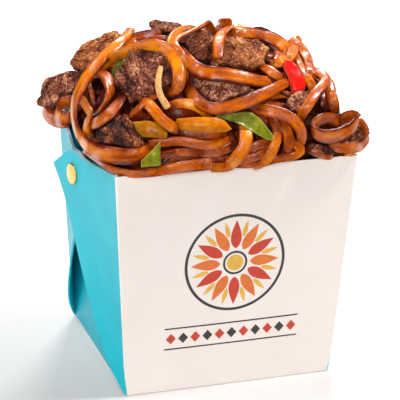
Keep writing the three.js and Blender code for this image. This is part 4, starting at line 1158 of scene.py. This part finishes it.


# ---------------------------------------------------------------- toppings

# What lies among the noodles, each as the outline that shows, corner by corner in
# [across, rise]. "look" is a slice's browning, from dark pink (0) to tan (1), and how light it
# is; that lightness is partly the slice's own and partly painted shade, lowest for slices lying
# in shade low in the heap, beef_low_right most. The slices on the far side are ellipses placed
# by their direction.
SLICES = {
    "beef_rear_left": {"lift": 4, "thick": 4.5, "look": (0.95, 0.58), "corners": [
        [-61.3, 64], [-58.5, 67.5], [-53.5, 72], [-48, 75], [-42, 78], [-38.8, 79.6], [-37, 77.5],
        [-40, 72], [-46, 66], [-51, 61.5], [-55.5, 60.3], [-58.5, 62]]},
    "beef_left": {"lift": 5, "thick": 6, "look": (0.15, 0.58), "corners": [
        [-76, 44.8], [-74.5, 49.5], [-72.5, 54.5], [-70, 57.2], [-65, 58.2], [-60, 60.2], [-55, 59.5],
        [-54.5, 55], [-58, 51], [-62, 47.5], [-67, 43.5], [-72, 42.8]]},
    "beef_low_left": {"lift": 2, "thick": 6, "look": (0.75, 0.24), "corners": [
        [-49.5, 28.5], [-46, 32.5], [-42, 35], [-39.5, 38.5], [-35, 39.5], [-31, 36.5], [-28, 31],
        [-25.5, 26], [-28, 24], [-34, 24.5], [-41, 26], [-47, 27]]},
    "beef_large": {"lift": 4, "thick": 6.5, "look": (0.2, 0.49), "corners": [
        [-39.8, 55], [-38.5, 60], [-35.5, 64.5], [-32.5, 69], [-28, 71], [-22, 71], [-18, 69.5],
        [-14.5, 65], [-12.5, 60], [-12.8, 55], [-17, 51.5], [-22, 48.5], [-27, 46.5], [-32, 45.5],
        [-34.5, 49], [-37.5, 52]]},
    "beef_top": {"lift": 2.5, "thick": 4, "look": (0.45, 0.49), "corners": [
        [-24, 82.3], [-20.5, 83.2], [-14.5, 82.5], [-8.5, 81.5], [-9, 78.5], [-12.5, 77], [-17, 77.8],
        [-21.5, 79.3]]},
    "beef_crown": {"lift": 2, "thick": 5, "look": (0.55, 0.42), "corners": [
        [-6.5, 73], [-4, 77], [0, 79], [4, 78.5], [6.5, 75], [6.5, 69], [5.5, 65], [2, 63.5], [-2, 65],
        [-5.5, 69]]},
    "beef_curl": {"lift": 4, "thick": 5, "look": (0.85, 0.62), "corners": [
        [5, 64.5], [5.5, 69], [9, 74], [13, 75.5], [18, 75.7], [23, 74.3], [27, 74.8], [30.5, 73.8],
        [31.8, 70.5], [30.8, 66.5], [29, 62.8], [25.5, 60.5], [19, 61.5], [12, 62.8], [7.5, 62.5]]},
    "beef_centre": {"lift": 2.5, "thick": 5.5, "look": (0.15, 0.8), "corners": [
        [-4, 57.5], [1, 57], [7, 56], [14, 55.5], [21, 54], [25.5, 51], [21, 49.5], [15, 48],
        [10, 45.3], [5, 46], [0, 50], [-3, 54]]},
    "beef_right": {"lift": 3, "thick": 5, "look": (0.2, 0.65), "corners": [
        [40, 45], [42, 48.5], [46, 50.5], [50.5, 50.8], [51.5, 47.5], [49, 43], [45.5, 40.5],
        [42, 41.5]]},
    "beef_in_ring": {"lift": 3, "thick": 4.5, "look": (0.4, 0.6), "corners": [
        [67, 28.5], [70, 27.5], [75, 28], [78, 31], [76.5, 35], [74, 37], [71, 34.5], [68.5, 31.5]]},
    "beef_low_right": {"lift": 1, "thick": 4.5, "look": (0.35, 0.06), "corners": [
        [49, 25.5], [52, 26.8], [57, 25.8], [62, 24], [64, 22.3], [60, 21.3], [54, 22.3], [50, 23.5]]},
    "beef_far_right": {"lift": 2.5, "thick": 5, "look": (0.4, 0.45),
                       "toward": [12, 30], "half": [12, 8], "spin": 20},
    "beef_far_back": {"lift": 2.5, "thick": 5.5, "look": (0.2, 0.45),
                      "toward": [92, 30], "half": [12, 8], "spin": -25},
    "beef_far_corner": {"lift": 3, "thick": 5, "look": (0.6, 0.45),
                        "toward": [128, 16], "half": [10, 7], "spin": 35},
}
SLICE_SEED = 11
PLATE_SIDES = 200                # points round a flat piece

# Pieces of pepper by their outlines. "bow" is how far the middle stands up across the piece.
PEPPERS = {
    "pepper_red": {"skin": "red", "lift": 5.5, "thick": 3, "bow": 0.5, "corners": [
        [39.8, 65.8], [42.5, 65.4], [45.5, 61.8], [48, 57.2], [49.5, 53.6], [48.8, 51.6], [45.3, 49.6],
        [43.2, 50], [42.2, 53.5], [41, 58], [39.2, 61.5], [38.8, 64]]},
    "pepper_yellow_left": {"skin": "mustard", "lift": 3, "thick": 3.2, "bow": 0.8, "corners": [
        [-31.5, 36.5], [-24, 37], [-19.5, 36], [-15, 31.5], [-15.5, 29], [-26.5, 29.3], [-29.5, 32]]},
    "pepper_yellow": {"skin": "yellow", "lift": 5, "thick": 3.4, "bow": 1.2, "corners": [
        [-11, 38], [-4, 38.6], [3, 38.8], [8.5, 38.9], [11.5, 37.2], [15.2, 33.2], [12.5, 31.8],
        [6, 31.4], [-1, 31.6], [-8, 32.5], [-11.5, 34.5]]},
    "pepper_green_back": {"skin": "olive", "lift": 4.5, "thick": 2.4, "bow": 0.5, "corners": [
        [-35, 67], [-38.3, 65], [-40.5, 61], [-42, 56.5], [-39.5, 55], [-37.3, 58.5], [-35, 63]]},
    "pepper_green_front": {"skin": "green", "lift": 5.5, "thick": 2.2, "bow": 0.4, "corners": [
        [-18.6, 27], [-18.4, 16], [-27.6, 15.3], [-27.2, 18.5], [-23, 22.5]]},
    "pepper_green_leaf": {"skin": "green", "lift": 5.5, "thick": 2.2, "bow": -0.9, "corners": [
        [5, 40.6], [10, 40.6], [17, 40.6], [20, 41.2], [24, 41], [27, 38.8], [30, 35.8], [33, 32.3],
        [35.4, 28.8], [34, 27.8], [31, 28.5], [28, 30], [24, 32], [20, 34.5], [16, 36.5], [12, 37.5],
        [9, 38.8]]},
    "pepper_red_far": {"skin": "red", "lift": 2.6, "thick": 3.2, "bow": 1.0,
                       "toward": [61, 39], "half": [9, 3.3], "spin": -20},
    "pepper_green_far": {"skin": "green", "lift": 2.8, "thick": 2.6, "bow": 0.6,
                         "toward": [130, 38], "half": [9, 3], "spin": -15},
}
PEPPER_SEED = 60

# The sprout's bends: [across, rise, height over the mound].
SPROUT = [[-18.4, 61.6, 8.5], [-19.3, 57, 9.5], [-19.4, 52.5, 9], [-18.3, 48.5, 7], [-16.4, 45.2, 5.5],
          [-15.4, 43.4, 5]]
SPROUT_NEAR = 1.2                # how much the sprout turns towards the viewpoint
PLATE_NEAR = 1.1                 # and the flat pieces


def outline(cut, seed, ragged):
    """A flat piece's outline in even steps: through its corners, which are rounded off, or an
    ellipse. Ripples that weaken with their order make it ragged. Returns its middle and the
    points about it, anticlockwise."""
    angle = np.arange(PLATE_SIDES) * 2 * np.pi / PLATE_SIDES
    if "corners" in cut:
        corners = np.array(cut["corners"] + cut["corners"][:1], float)
        ahead = np.roll(corners[:-1], -1, 0)
        if (corners[:-1, 0] * ahead[:, 1] - corners[:-1, 1] * ahead[:, 0]).sum() < 0:
            corners = corners[::-1]
        loop = along_line(corners, np.arange(PLATE_SIDES) / PLATE_SIDES)
        for _ in range(3):
            loop = 0.25 * np.roll(loop, 1, 0) + 0.5 * loop + 0.25 * np.roll(loop, -1, 0)
    else:
        turn = np.radians(cut["spin"])
        x, y = cut["half"][0] * np.cos(angle), cut["half"][1] * np.sin(angle)
        loop = np.stack([x * np.cos(turn) - y * np.sin(turn), x * np.sin(turn) + y * np.cos(turn)], -1)
    middle = loop.mean(0)
    rng = np.random.default_rng(seed)
    ripple = 1 + sum(rng.normal(0, ragged / order) * np.sin(order * angle + rng.uniform(0, 7))
                     for order in range(5, 30, 2))
    return middle, (loop - middle) * ripple[:, None]


def plate_on_mound(cut, seed=0, ragged=0.0):
    """A flat piece's middle on the mound, the way it faces and its outline about the middle."""
    middle, loop = outline(cut, seed, ragged)
    if "toward" in cut:
        centre = on_mound_toward(*np.array(cut["toward"], float), np.array(cut["lift"], float))
        face = outward(centre)
        across = unit(np.cross([0, 0, 1.0], face))
        return centre, face, loop[:, :1] * across + loop[:, 1:] * np.cross(face, across)
    centre = on_mound([[*middle, cut["lift"]]])[0]
    face = unit(outward(centre) + PLATE_NEAR * VIEW_BACK)
    ray = sight(middle[0] + loop[:, 0], middle[1] + loop[:, 1])
    reach = (centre - EYE) @ face / (ray @ face)
    return centre, face, EYE + ray * reach[:, None] - centre


SAG = 0.012                      # a flat piece droops by this times the square of the distance


def slice_patch(cut, seed):
    """A slice of beef, thick and round-edged: its loops lie at sin(s pi/2)^0.85 of the outline
    and at (1 - s^7)^0.6 of half its thickness, s from 0.03 to 1 over the top and back under
    it. Its meat fibres run one way across it in raised bundles, lumps swell between them,
    crumbs roughen it, and cracks open where a slower field of lumps passes zero."""
    centre, face, edge = plate_on_mound(cut, seed, 0.16)
    side = np.linspace(0.03, 1, 32)
    out = np.concatenate([side, side[-2::-1]])
    out = np.sin(out * np.pi / 2) ** 0.85
    high = (1 - side ** 7) ** 0.6
    high = np.concatenate([high, -high[-2::-1]])[:, None]
    reach = out[:, None, None] * edge[None]
    flat = centre + reach - SAG * (reach ** 2).sum(-1, keepdims=True) * face
    body = high * cut["thick"] / 2
    solid = flat + body[..., None] * face
    rng = np.random.default_rng(seed + 100)
    grain = unit(np.cross(face, rng.normal(size=3)))
    stretched = solid - 0.55 * (solid @ grain)[..., None] * grain
    ridges = 1 - np.abs(lumps(stretched, 3.0, seed + 1, 30))
    swell = lumps(flat, 8.0, seed + 2)
    crumb = lumps(solid, 1.5, seed + 3, 34)
    crack = np.exp(-(lumps(stretched, 6.5, seed + 4) / 0.13) ** 2)
    relief = 0.22 * ridges + 0.6 * swell + 0.17 * crumb - 0.55 * crack
    away = unit(reach)
    points = solid + (relief * np.where(high < 0, -0.5, 1))[..., None] * face
    points = points + ((1 - np.abs(high)) * 0.35 * crumb)[..., None] * away
    warm, light = cut["look"]
    # sear: the slice's own browning and lightness, painted lighter where bundles, swells and crumbs rise,
    # and painted shade in the cracks.
    sear = light + 0.14 * (ridges - 0.5) + 0.18 * swell + 0.1 * crumb - 0.3 * crack
    # Painted shade: darker towards the rim and the underside.
    sear = sear - 0.25 * (1 - ease(-0.2, 0.8, high))
    fibre = {f"fibre_{axis}": stretched[::-1, :, k] for k, axis in enumerate("xyz")}
    return closed_patch(points[::-1], sear=sear[::-1], warm=warm, **fibre)


def pepper_patch(cut, seed):
    """A piece of pepper: an even wall, its loops at (1 - s^26)^0.5 of half its thickness, so
    that its cut edges are nearly square, bowed up by 1 - s^2. The field rim is 1 on them."""
    centre, face, edge = plate_on_mound(cut, seed, 0.03)
    side = np.concatenate([np.linspace(0.03, 0.85, 12), [0.92, 0.96, 0.985, 1.0]])
    high = (1 - side ** 26) ** 0.5
    out = np.concatenate([side, side[::-1]])
    high = np.concatenate([high, -high[::-1]])[:, None]
    reach = out[:, None, None] * edge[None]
    bow = cut["bow"] * (1 - out ** 2)[:, None]
    rise = high * cut["thick"] / 2 + bow + 0.12 * lumps(centre + reach, 5.0, seed)
    points = centre + reach + (rise[..., None] - SAG * (reach ** 2).sum(-1, keepdims=True)) * face
    rim = ease(0.93, 0.985, out)[:, None] + 0 * rise
    return closed_patch(points[::-1], rim=rim[::-1])


def sprout_patch():
    """The bean sprout: slender, a little flattened, and thicker towards its lower end."""
    path, _ = through(on_mound(SPROUT), 0.6)
    at = ribbon_frame(path, np.zeros(len(path)), SPROUT_NEAR)
    half = np.linspace(1.1, 1.45, len(path)) * (1 + 0.05 * lumps(path, 5.0, 77))
    return swept(path, at, half, 0.8 * half, power=2.6, sides=24, cap=0.9)


# ---------------------------------------------------------------- settling

SETTLE_ROUNDS = 90
SETTLE_PACE = 0.35               # share of a move that is made in one round
SETTLE_DOWN, SETTLE_UP = -3.2, 4.2     # the furthest that a place may move
SETTLE_REACH = 13.0              # places further apart than this don't touch
SAME_BEND = 14                   # nor do places of one strand that lie this close along it
LEVEL = 0.25                     # places nearer in height than this are level with each other
CLEARANCE = 1.02                 # strands settle at this many times the distance that just touches
SHALLOWEST = 0.45                # a way that runs along the mound counts as this steep
TOPPING_HALF = 1.4               # half the width that one place of a flat piece stands for
RIM_GAP, WALL_GAP = 0.4, 1.2     # a noodle keeps this far over the rim, or inside the wall
STEEP_ENOUGH = 0.3               # and one that is moved up counts as moving this steeply


def settling_places(noodles, toppings):
    """The places of the noodles and then of the toppings. Each has its point, the one way that
    it may move, the way the mound faces, its half height and half width as it lies, how
    freely it moves, and its strand's number."""
    rows = []
    for noodle in noodles:
        path, spot = through(noodle["bends"], BEND_STEP)
        rolls = bends_between(noodle, spot, "rolls")
        _, edge, face = ribbon_frame(path, rolls, noodle["near"], noodle["axis"])
        out = outward(path)
        half = bends_between(noodle, spot, "wides") / 2
        flat = noodle_thick(2 * half) / 2
        stand = np.sqrt((flat * (face * out).sum(-1)) ** 2 + (half * (edge * out).sum(-1)) ** 2)
        lie = np.sqrt(half ** 2 + flat ** 2 - stand ** 2)
        noodle["spot"] = spot
        rows.append((path, unit(EYE - path) if noodle["seen"] else out, out, stand, lie, noodle["loose"]))
    for points, face, half_thick in toppings:
        facing = np.broadcast_to(face, points.shape)
        rows.append((points, np.zeros_like(points), facing, half_thick, TOPPING_HALF, 0.0))
    counts = [len(row[0]) for row in rows]
    place, ways, normals = (np.concatenate([row[k] for row in rows]) for k in range(3))
    high, wide, loose = (np.concatenate([np.broadcast_to(row[k], n) for row, n in zip(rows, counts)])
                         for k in range(3, 6))
    return place, ways, normals, high, wide, loose, np.repeat(np.arange(len(rows)), counts)


def touching_pairs(place, normals, loose, strand):
    """Every pair of places that may touch and whose first one can move, and 1 where the second
    lies over it or -1 where it lies under it. Of two level ones, the later strand lies over."""
    square = (place ** 2).sum(-1)
    apart = square[:, None] + square[None] - 2 * place @ place.T
    i, j = np.nonzero(apart < SETTLE_REACH ** 2)
    same = (strand[i] == strand[j]) & (np.abs(i - j) * BEND_STEP < SAME_BEND)
    keep = ~same & (loose[i] > 0)
    i, j = i[keep], j[keep]
    rise = ((place[j] - place[i]) * normals[i]).sum(-1)
    later = np.where(strand[j] > strand[i], 1.0, -1.0)
    return i, j, np.where(np.abs(rise) > LEVEL, np.sign(rise), later)


def below_rim(points, high, wide):
    """How far each place that reaches past the walls lies below where it would clear the rim."""
    x, y, z = points.T
    lowest = HEIGHT + RIM_GAP + high
    wall = WALL_GAP + wide
    over_wall = (np.abs(x) > half_wide(z) - wall) | (np.abs(y) > half_deep(z) - wall)
    return np.where(over_wall, np.maximum(lowest - z, 0), 0)


def settle(noodles, toppings):
    """Moves the places of the noodles apart until they lie on one another. Each place may move
    only one way: towards the viewpoint on the serving side, outwards from the mound elsewhere.
    Where two strands overlap, the upper one rises and the lower one sinks by what is missing
    between their middles, and the moves are evened out along each strand."""
    place, ways, normals, high, wide, loose, strand = settling_places(noodles, toppings)
    i, j, upper = touching_pairs(place, normals, loose, strand)
    share = loose[i] / (loose[i] + loose[j])
    free = np.count_nonzero(strand < len(noodles))
    starts = np.flatnonzero(np.diff(strand[:free])) + 1
    inner = np.ones(free, bool)
    inner[np.concatenate([[0], starts, starts - 1, [free - 1]])] = False
    inner = np.flatnonzero(inner)
    steepness = np.maximum(np.abs((ways * normals).sum(-1)), SHALLOWEST)
    shift = np.zeros(len(place))
    for _ in range(SETTLE_ROUNDS):
        now = place + shift[:, None] * ways
        gap = now[j] - now[i]
        rise = (gap * normals[i]).sum(-1)
        beside = np.maximum((gap ** 2).sum(-1) - rise ** 2, 0)
        near = np.maximum(1 - beside / (wide[i] + wide[j]) ** 2, 0)
        need = CLEARANCE * (high[i] + high[j]) * np.sqrt(near) - rise * upper
        need = np.maximum(need, 0) * share
        up = np.zeros(len(place))
        down = np.zeros(len(place))
        np.maximum.at(up, i[upper < 0], need[upper < 0])
        np.maximum.at(down, i[upper > 0], need[upper > 0])
        shift += SETTLE_PACE * (up - down) / steepness
        even = shift.copy()
        even[inner] = 0.5 * shift[inner] + 0.25 * (shift[inner - 1] + shift[inner + 1])
        shift = np.clip(even, SETTLE_DOWN, SETTLE_UP)
        shift[free:] = 0
        now = place + shift[:, None] * ways
        short = below_rim(now[:free], high[:free], wide[:free])
        shift[:free] += short / np.maximum(ways[:free, 2], STEEP_ENOUGH)
    moved = place + shift[:, None] * ways
    for index, noodle in enumerate(noodles):
        noodle["path"] = moved[strand == index]


def seen_at(points):
    """Where points show from the serving side, as across and rise, and how near they are."""
    ray = points - EYE
    depth = -(ray @ VIEW_BACK)
    shown = np.stack([ray @ VIEW_RIGHT, ray @ VIEW_TOP], -1) * (VIEW_DISTANCE / depth)[..., None]
    return shown, -depth


def within(places, corners):
    """Which places lie inside an outline: those from which a line to the right crosses it an
    odd number of times."""
    start = np.array(corners, float)
    end = np.roll(start, -1, 0)
    x, y = places[:, :1], places[:, 1:]
    spans = (start[:, 1] > y) != (end[:, 1] > y)
    rise = np.where(end[:, 1] == start[:, 1], 1e-9, end[:, 1] - start[:, 1])
    cross = start[:, 0] + (y - start[:, 1]) / rise * (end[:, 0] - start[:, 0])
    return (spans & (x < cross)).sum(1) % 2 == 1


BESIDE_LAID = 1.0                # a loose noodle stays this far from the sides of a laid one,
BEHIND_LAID = 0.5                # unless it lies no more than this in front of its middle,
BEHIND_FLAT = 3                  # and at least this far behind the middle of a flat piece
SHORTEST = 4                     # places left in the shortest noodle that is kept


def clear_view(laid, loose):
    """The loose noodles, each cut down to its longest stretch that hides nothing of what was
    laid to be seen: no flat piece and no laid noodle."""
    flats = [cut for cut in [*SLICES.values(), *PEPPERS.values()] if "corners" in cut]
    levels = [seen_at(plate_on_mound(cut)[0])[1] - BEHIND_FLAT for cut in flats]
    front, near = seen_at(np.concatenate([noodle["path"] for noodle in laid]))
    half = np.concatenate([bends_between(noodle, noodle["spot"], "wides") / 2 for noodle in laid])
    kept = []
    for noodle in loose:
        place, depth = seen_at(noodle["path"])
        apart = np.linalg.norm(place[:, None] - front[None], axis=-1)
        hides = ((apart < half + BESIDE_LAID) & (depth[:, None] > near + BEHIND_LAID)).any(1)
        for cut, level in zip(flats, levels):
            hides |= within(place, cut["corners"]) & (depth > level)
        marks = np.flatnonzero(np.concatenate([[True], hides, [True]]))
        longest = np.diff(marks).argmax()
        first, last = marks[longest], marks[longest + 1] - 1
        if last - first >= SHORTEST:
            noodle["path"], noodle["spot"] = noodle["path"][first:last], noodle["spot"][first:last]
            kept.append(noodle)
    return kept


# ---------------------------------------------------------------- the food put together


NOODLE_SEED = 500
WRINKLE_SEED = 700
UNEVEN_SEED = 900


def noodle_patch(noodle, index):
    """A noodle: broad, flat and round-cornered, its width and thickness a little uneven."""
    path, spot = through(noodle["path"], RING_STEP)
    spot = np.interp(spot, np.arange(len(noodle["spot"])), noodle["spot"])
    roll = smoothed(bends_between(noodle, spot, "rolls"), 6)
    rng = np.random.default_rng(NOODLE_SEED + index)
    at = ribbon_frame(path, roll, noodle["near"], noodle["axis"])
    uneven = lumps(path, 14.0, UNEVEN_SEED + index)
    wide = smoothed(bends_between(noodle, spot, "wides"), 3)
    half = wide / 2 * (1 + 0.04 * uneven)
    flat = noodle_thick(wide) / 2 * (1 - 0.08 * uneven)
    # Tone: the noodle's own random shade, plus painted shade that darkens it the deeper it lies in the
    # mound.
    tone = 0.05 + rng.uniform(-0.14, 0.14) + 0.09 * np.clip(over_mound(path), -4, 6) + 0.06 * uneven
    wrinkled = 0.25 + 0.75 * ease(0.1, 0.9, lumps(path, 16.0, WRINKLE_SEED + index))
    return swept(path, at, half, flat, bow=rng.uniform(-0.02, 0.12), tone=tone, wrinkled=wrinkled)


def core_rings():
    """The heap's own core: the mound drawn in by a few millimetres, with lumps."""
    steepness = np.linspace(-88, 88, 60)[:, None]
    compass = np.linspace(0, 360, 120, endpoint=False)[None, :]
    direction = toward(compass + 0 * steepness, steepness + 0 * compass)
    surface = MOUND_CENTRE + direction * (mound_reach(direction) - CORE_DEPTH)[..., None]
    return surface + direction * (1.1 * lumps(surface, 9.0, 3))[..., None]


SLAB_LEVEL = HEIGHT - 5.0
SLAB_DEEP = 30
SLAB_GAP = 1.4                   # between the slab and the walls
SLAB_SQUARE = 14                 # its outline is a superellipse of this power


def packed_slab():
    """The noodles that fill the pail up to the walls, a little under the rim."""
    share = np.linspace(0.02, 1, 26)[:, None]
    around = np.linspace(0, 2 * np.pi, 140, endpoint=False)[None, :]
    cos, sin = np.cos(around), np.sin(around)
    size = (np.abs(cos) ** SLAB_SQUARE + np.abs(sin) ** SLAB_SQUARE) ** (-1 / SLAB_SQUARE)
    x = share * cos * size * (half_wide(SLAB_LEVEL) - SLAB_GAP)
    y = share * sin * size * (half_deep(SLAB_LEVEL) - SLAB_GAP)
    top = np.stack([x, y, SLAB_LEVEL + 0 * x], -1)
    top[..., 2] += 1.2 * lumps(top, 9.0, 5)
    floor = top[::-1] * [1, 1, 0] + [0, 0, SLAB_LEVEL - SLAB_DEEP]
    return np.concatenate([top, floor])


def topping_obstacles():
    """Points spread over each flat piece and along the sprout, with the facing and the half
    thickness of each piece."""
    found = []
    for cut in [*SLICES.values(), *PEPPERS.values()]:
        centre, face, edge = plate_on_mound(cut)
        reach = (np.linspace(0.1, 0.92, 5)[:, None, None] * edge[None, ::10]).reshape(-1, 3)
        sag = SAG * (reach ** 2).sum(-1, keepdims=True)
        found.append((centre + reach - sag * face, face, cut["thick"] / 2 + 0.2))
    path, _ = through(on_mound(SPROUT), 2.0)
    found.append((path, unit(outward(path) + SPROUT_NEAR * VIEW_BACK), 1.2))
    return found


def make_food():
    """The settled noodles over their core, then the slices, the peppers and the sprout."""
    dough = glazed_noodle()
    laid, far, under = list(laid_noodles()), list(far_noodles()), list(under_noodles())
    settle(laid + far + under, topping_obstacles())
    far, under = clear_view(laid, far), clear_view(laid, under)
    index = 0
    for name, group in (("noodles_laid", laid), ("noodles_far", far), ("noodles_under", under)):
        patches = [noodle_patch(noodle, index + k) for k, noodle in enumerate(group)]
        index += len(group)
        add_piece(name, "noodle", [dough], patches, stands_for=["noodles"])
    # The core and the packed slab take the dark dough: painted shade deep in the heap.
    packed = [closed_patch(core_rings()), closed_patch(packed_slab())]
    add_piece("heap_core", "noodle", [shaded_heap_dough()], packed, stands_for=["noodles"])
    meat = seared_beef()
    for number, (name, cut) in enumerate(SLICES.items()):
        patch = slice_patch(cut, SLICE_SEED + number)
        add_piece(f"{name}_slice", "beef", [meat], [patch], stands_for=[name])
    skins = {
        "red": ("red_pepper", pepper_skin("pepper_skin_red", "#d00a06", "#ea1c12", "#e8552a")),
        "yellow": ("yellow_pepper", pepper_skin("pepper_skin_yellow", "#b85a00", "#d27e00", "#d49220")),
        "mustard": ("yellow_pepper", pepper_skin("pepper_skin_mustard", "#8c4c00", "#b47200", "#b8840e")),
        "green": ("green_pepper", pepper_skin("pepper_skin_green", "#586004", "#94941c", "#acaa4a")),
        "olive": ("green_pepper", pepper_skin("pepper_skin_olive", "#46420a", "#625a14", "#7c7430")),
    }
    for number, (name, cut) in enumerate(PEPPERS.items()):
        slot, skin = skins[cut["skin"]]
        patch = pepper_patch(cut, PEPPER_SEED + number)
        add_piece(f"{name}_piece", slot, [skin], [patch], stands_for=[name])
    # On the sprout the paler edge colour, on both narrow edges, is a painted highlight.
    flesh = pepper_skin("sprout_flesh", "#c88a44", "#e8b678", "#f0cc98")
    add_piece("bean_sprout", "sprout", [flesh], [sprout_patch()], stands_for=["sprout"])


# ---------------------------------------------------------------- the studio, in metres

PAPER_REACH = 6.0                # half the width of the paper that the box stands on
# Each lamp: where it stands, what it lights, how wide it is, and its power in watts.
LAMPS = {
    "key": ((0.55, -0.15, 1.05), (0, 0, 0.1), 0.18, 12.5),
    "above": ((-0.55, 0.1, 1.3), (0, 0, 0.1), 0.28, 6),
    "behind": ((0.3, 0.75, 0.8), (0, 0, 0.12), 0.3, 8),
    "front": ((-0.3, -1.15, 0.7), (0, 0, 0.08), 0.5, 7.4),
    "left": ((-1.1, -0.25, 0.6), (0, 0, 0.08), 0.4, 4.2),
}


def glowing_paper():
    """Matt pale grey backing paper that glows more the further back it lies: a painted light that turns it
    plain white behind the box.
    """
    material, tree, shader, place = new_material("pale_paper_floor")
    behind = add_node(tree, "SeparateXYZ", {0: place}).outputs["Y"]
    share = add_node(tree, "MapRange", {"Value": behind, "From Min": -0.5, "From Max": 0.6})
    # Painted light: the paper glows, not at all in front of the box and up to 0.9 far behind it.
    glow = add_node(tree, "ValToRGB", {"Fac": share}, stops=[
        (0.0, (0.0, 0.0, 0.0, 1)), (0.35, (0.0, 0.0, 0.0, 1)), (0.6, (0.5, 0.5, 0.5, 1)),
        (1.0, (0.9, 0.9, 0.9, 1))])
    fill_sockets(tree, shader, {
        "Base Color": linear("#c8c4c2"), "Roughness": 0.9, "Emission Color": glow, "Emission Strength": 1.0})
    return material


def make_floor():
    """The sheet of paper under the box."""
    mesh = bpy.data.meshes.new("floor")
    corners = [(x * PAPER_REACH, y * PAPER_REACH, 0) for x, y in ((-1, -1), (1, -1), (1, 1), (-1, 1))]
    mesh.from_pydata(corners, [], [(0, 1, 2, 3)])
    mesh.materials.append(glowing_paper())
    floor = bpy.data.objects.new("floor", mesh)
    bpy.context.scene.collection.objects.link(floor)


def make_lamp(name, at, aim, size, power):
    """A round soft lamp that faces what it lights."""
    light = bpy.data.lights.new(name, "AREA")
    light.shape = "DISK"
    light.size = size
    light.energy = power
    lamp = bpy.data.objects.new(name, light)
    lamp.location = at
    back = unit(np.array(at) - np.array(aim))
    side = unit(np.cross([0, 0, 1.0], back))
    turn = Matrix(np.stack([side, np.cross(back, side), back], -1).tolist())
    lamp.rotation_mode = "QUATERNION"
    lamp.rotation_quaternion = turn.to_quaternion()
    bpy.context.scene.collection.objects.link(lamp)


def make_camera():
    """The camera on the serving side."""
    camera = bpy.data.cameras.new("camera")
    camera.sensor_width = SENSOR
    camera.lens = FOCAL * SENSOR
    camera.clip_start = 0.05
    eye = bpy.data.objects.new("camera", camera)
    turn = Matrix(np.stack([VIEW_RIGHT, VIEW_TOP, VIEW_BACK], -1).tolist())
    eye.matrix_world = Matrix.Translation((EYE * MM).tolist()) @ turn.to_4x4()
    bpy.context.scene.collection.objects.link(eye)
    bpy.context.scene.camera = eye


def make_studio():
    """Pale paper that glows white behind the box as painted light, a faint even light from all round, the
    lamps and the camera.
    """
    make_floor()
    world = bpy.data.worlds.new("studio")
    bpy.context.scene.world = world
    world.use_nodes = True
    fill_sockets(world.node_tree, world.node_tree.nodes["Background"], {
        "Color": (1, 1, 1, 1), "Strength": 0.06})
    for name, lamp in LAMPS.items():
        make_lamp(name, *lamp)
    make_camera()
    bpy.context.scene.view_settings.view_transform = "Standard"


make_studio()
make_carton()
make_studs()
make_emblems()
make_food()
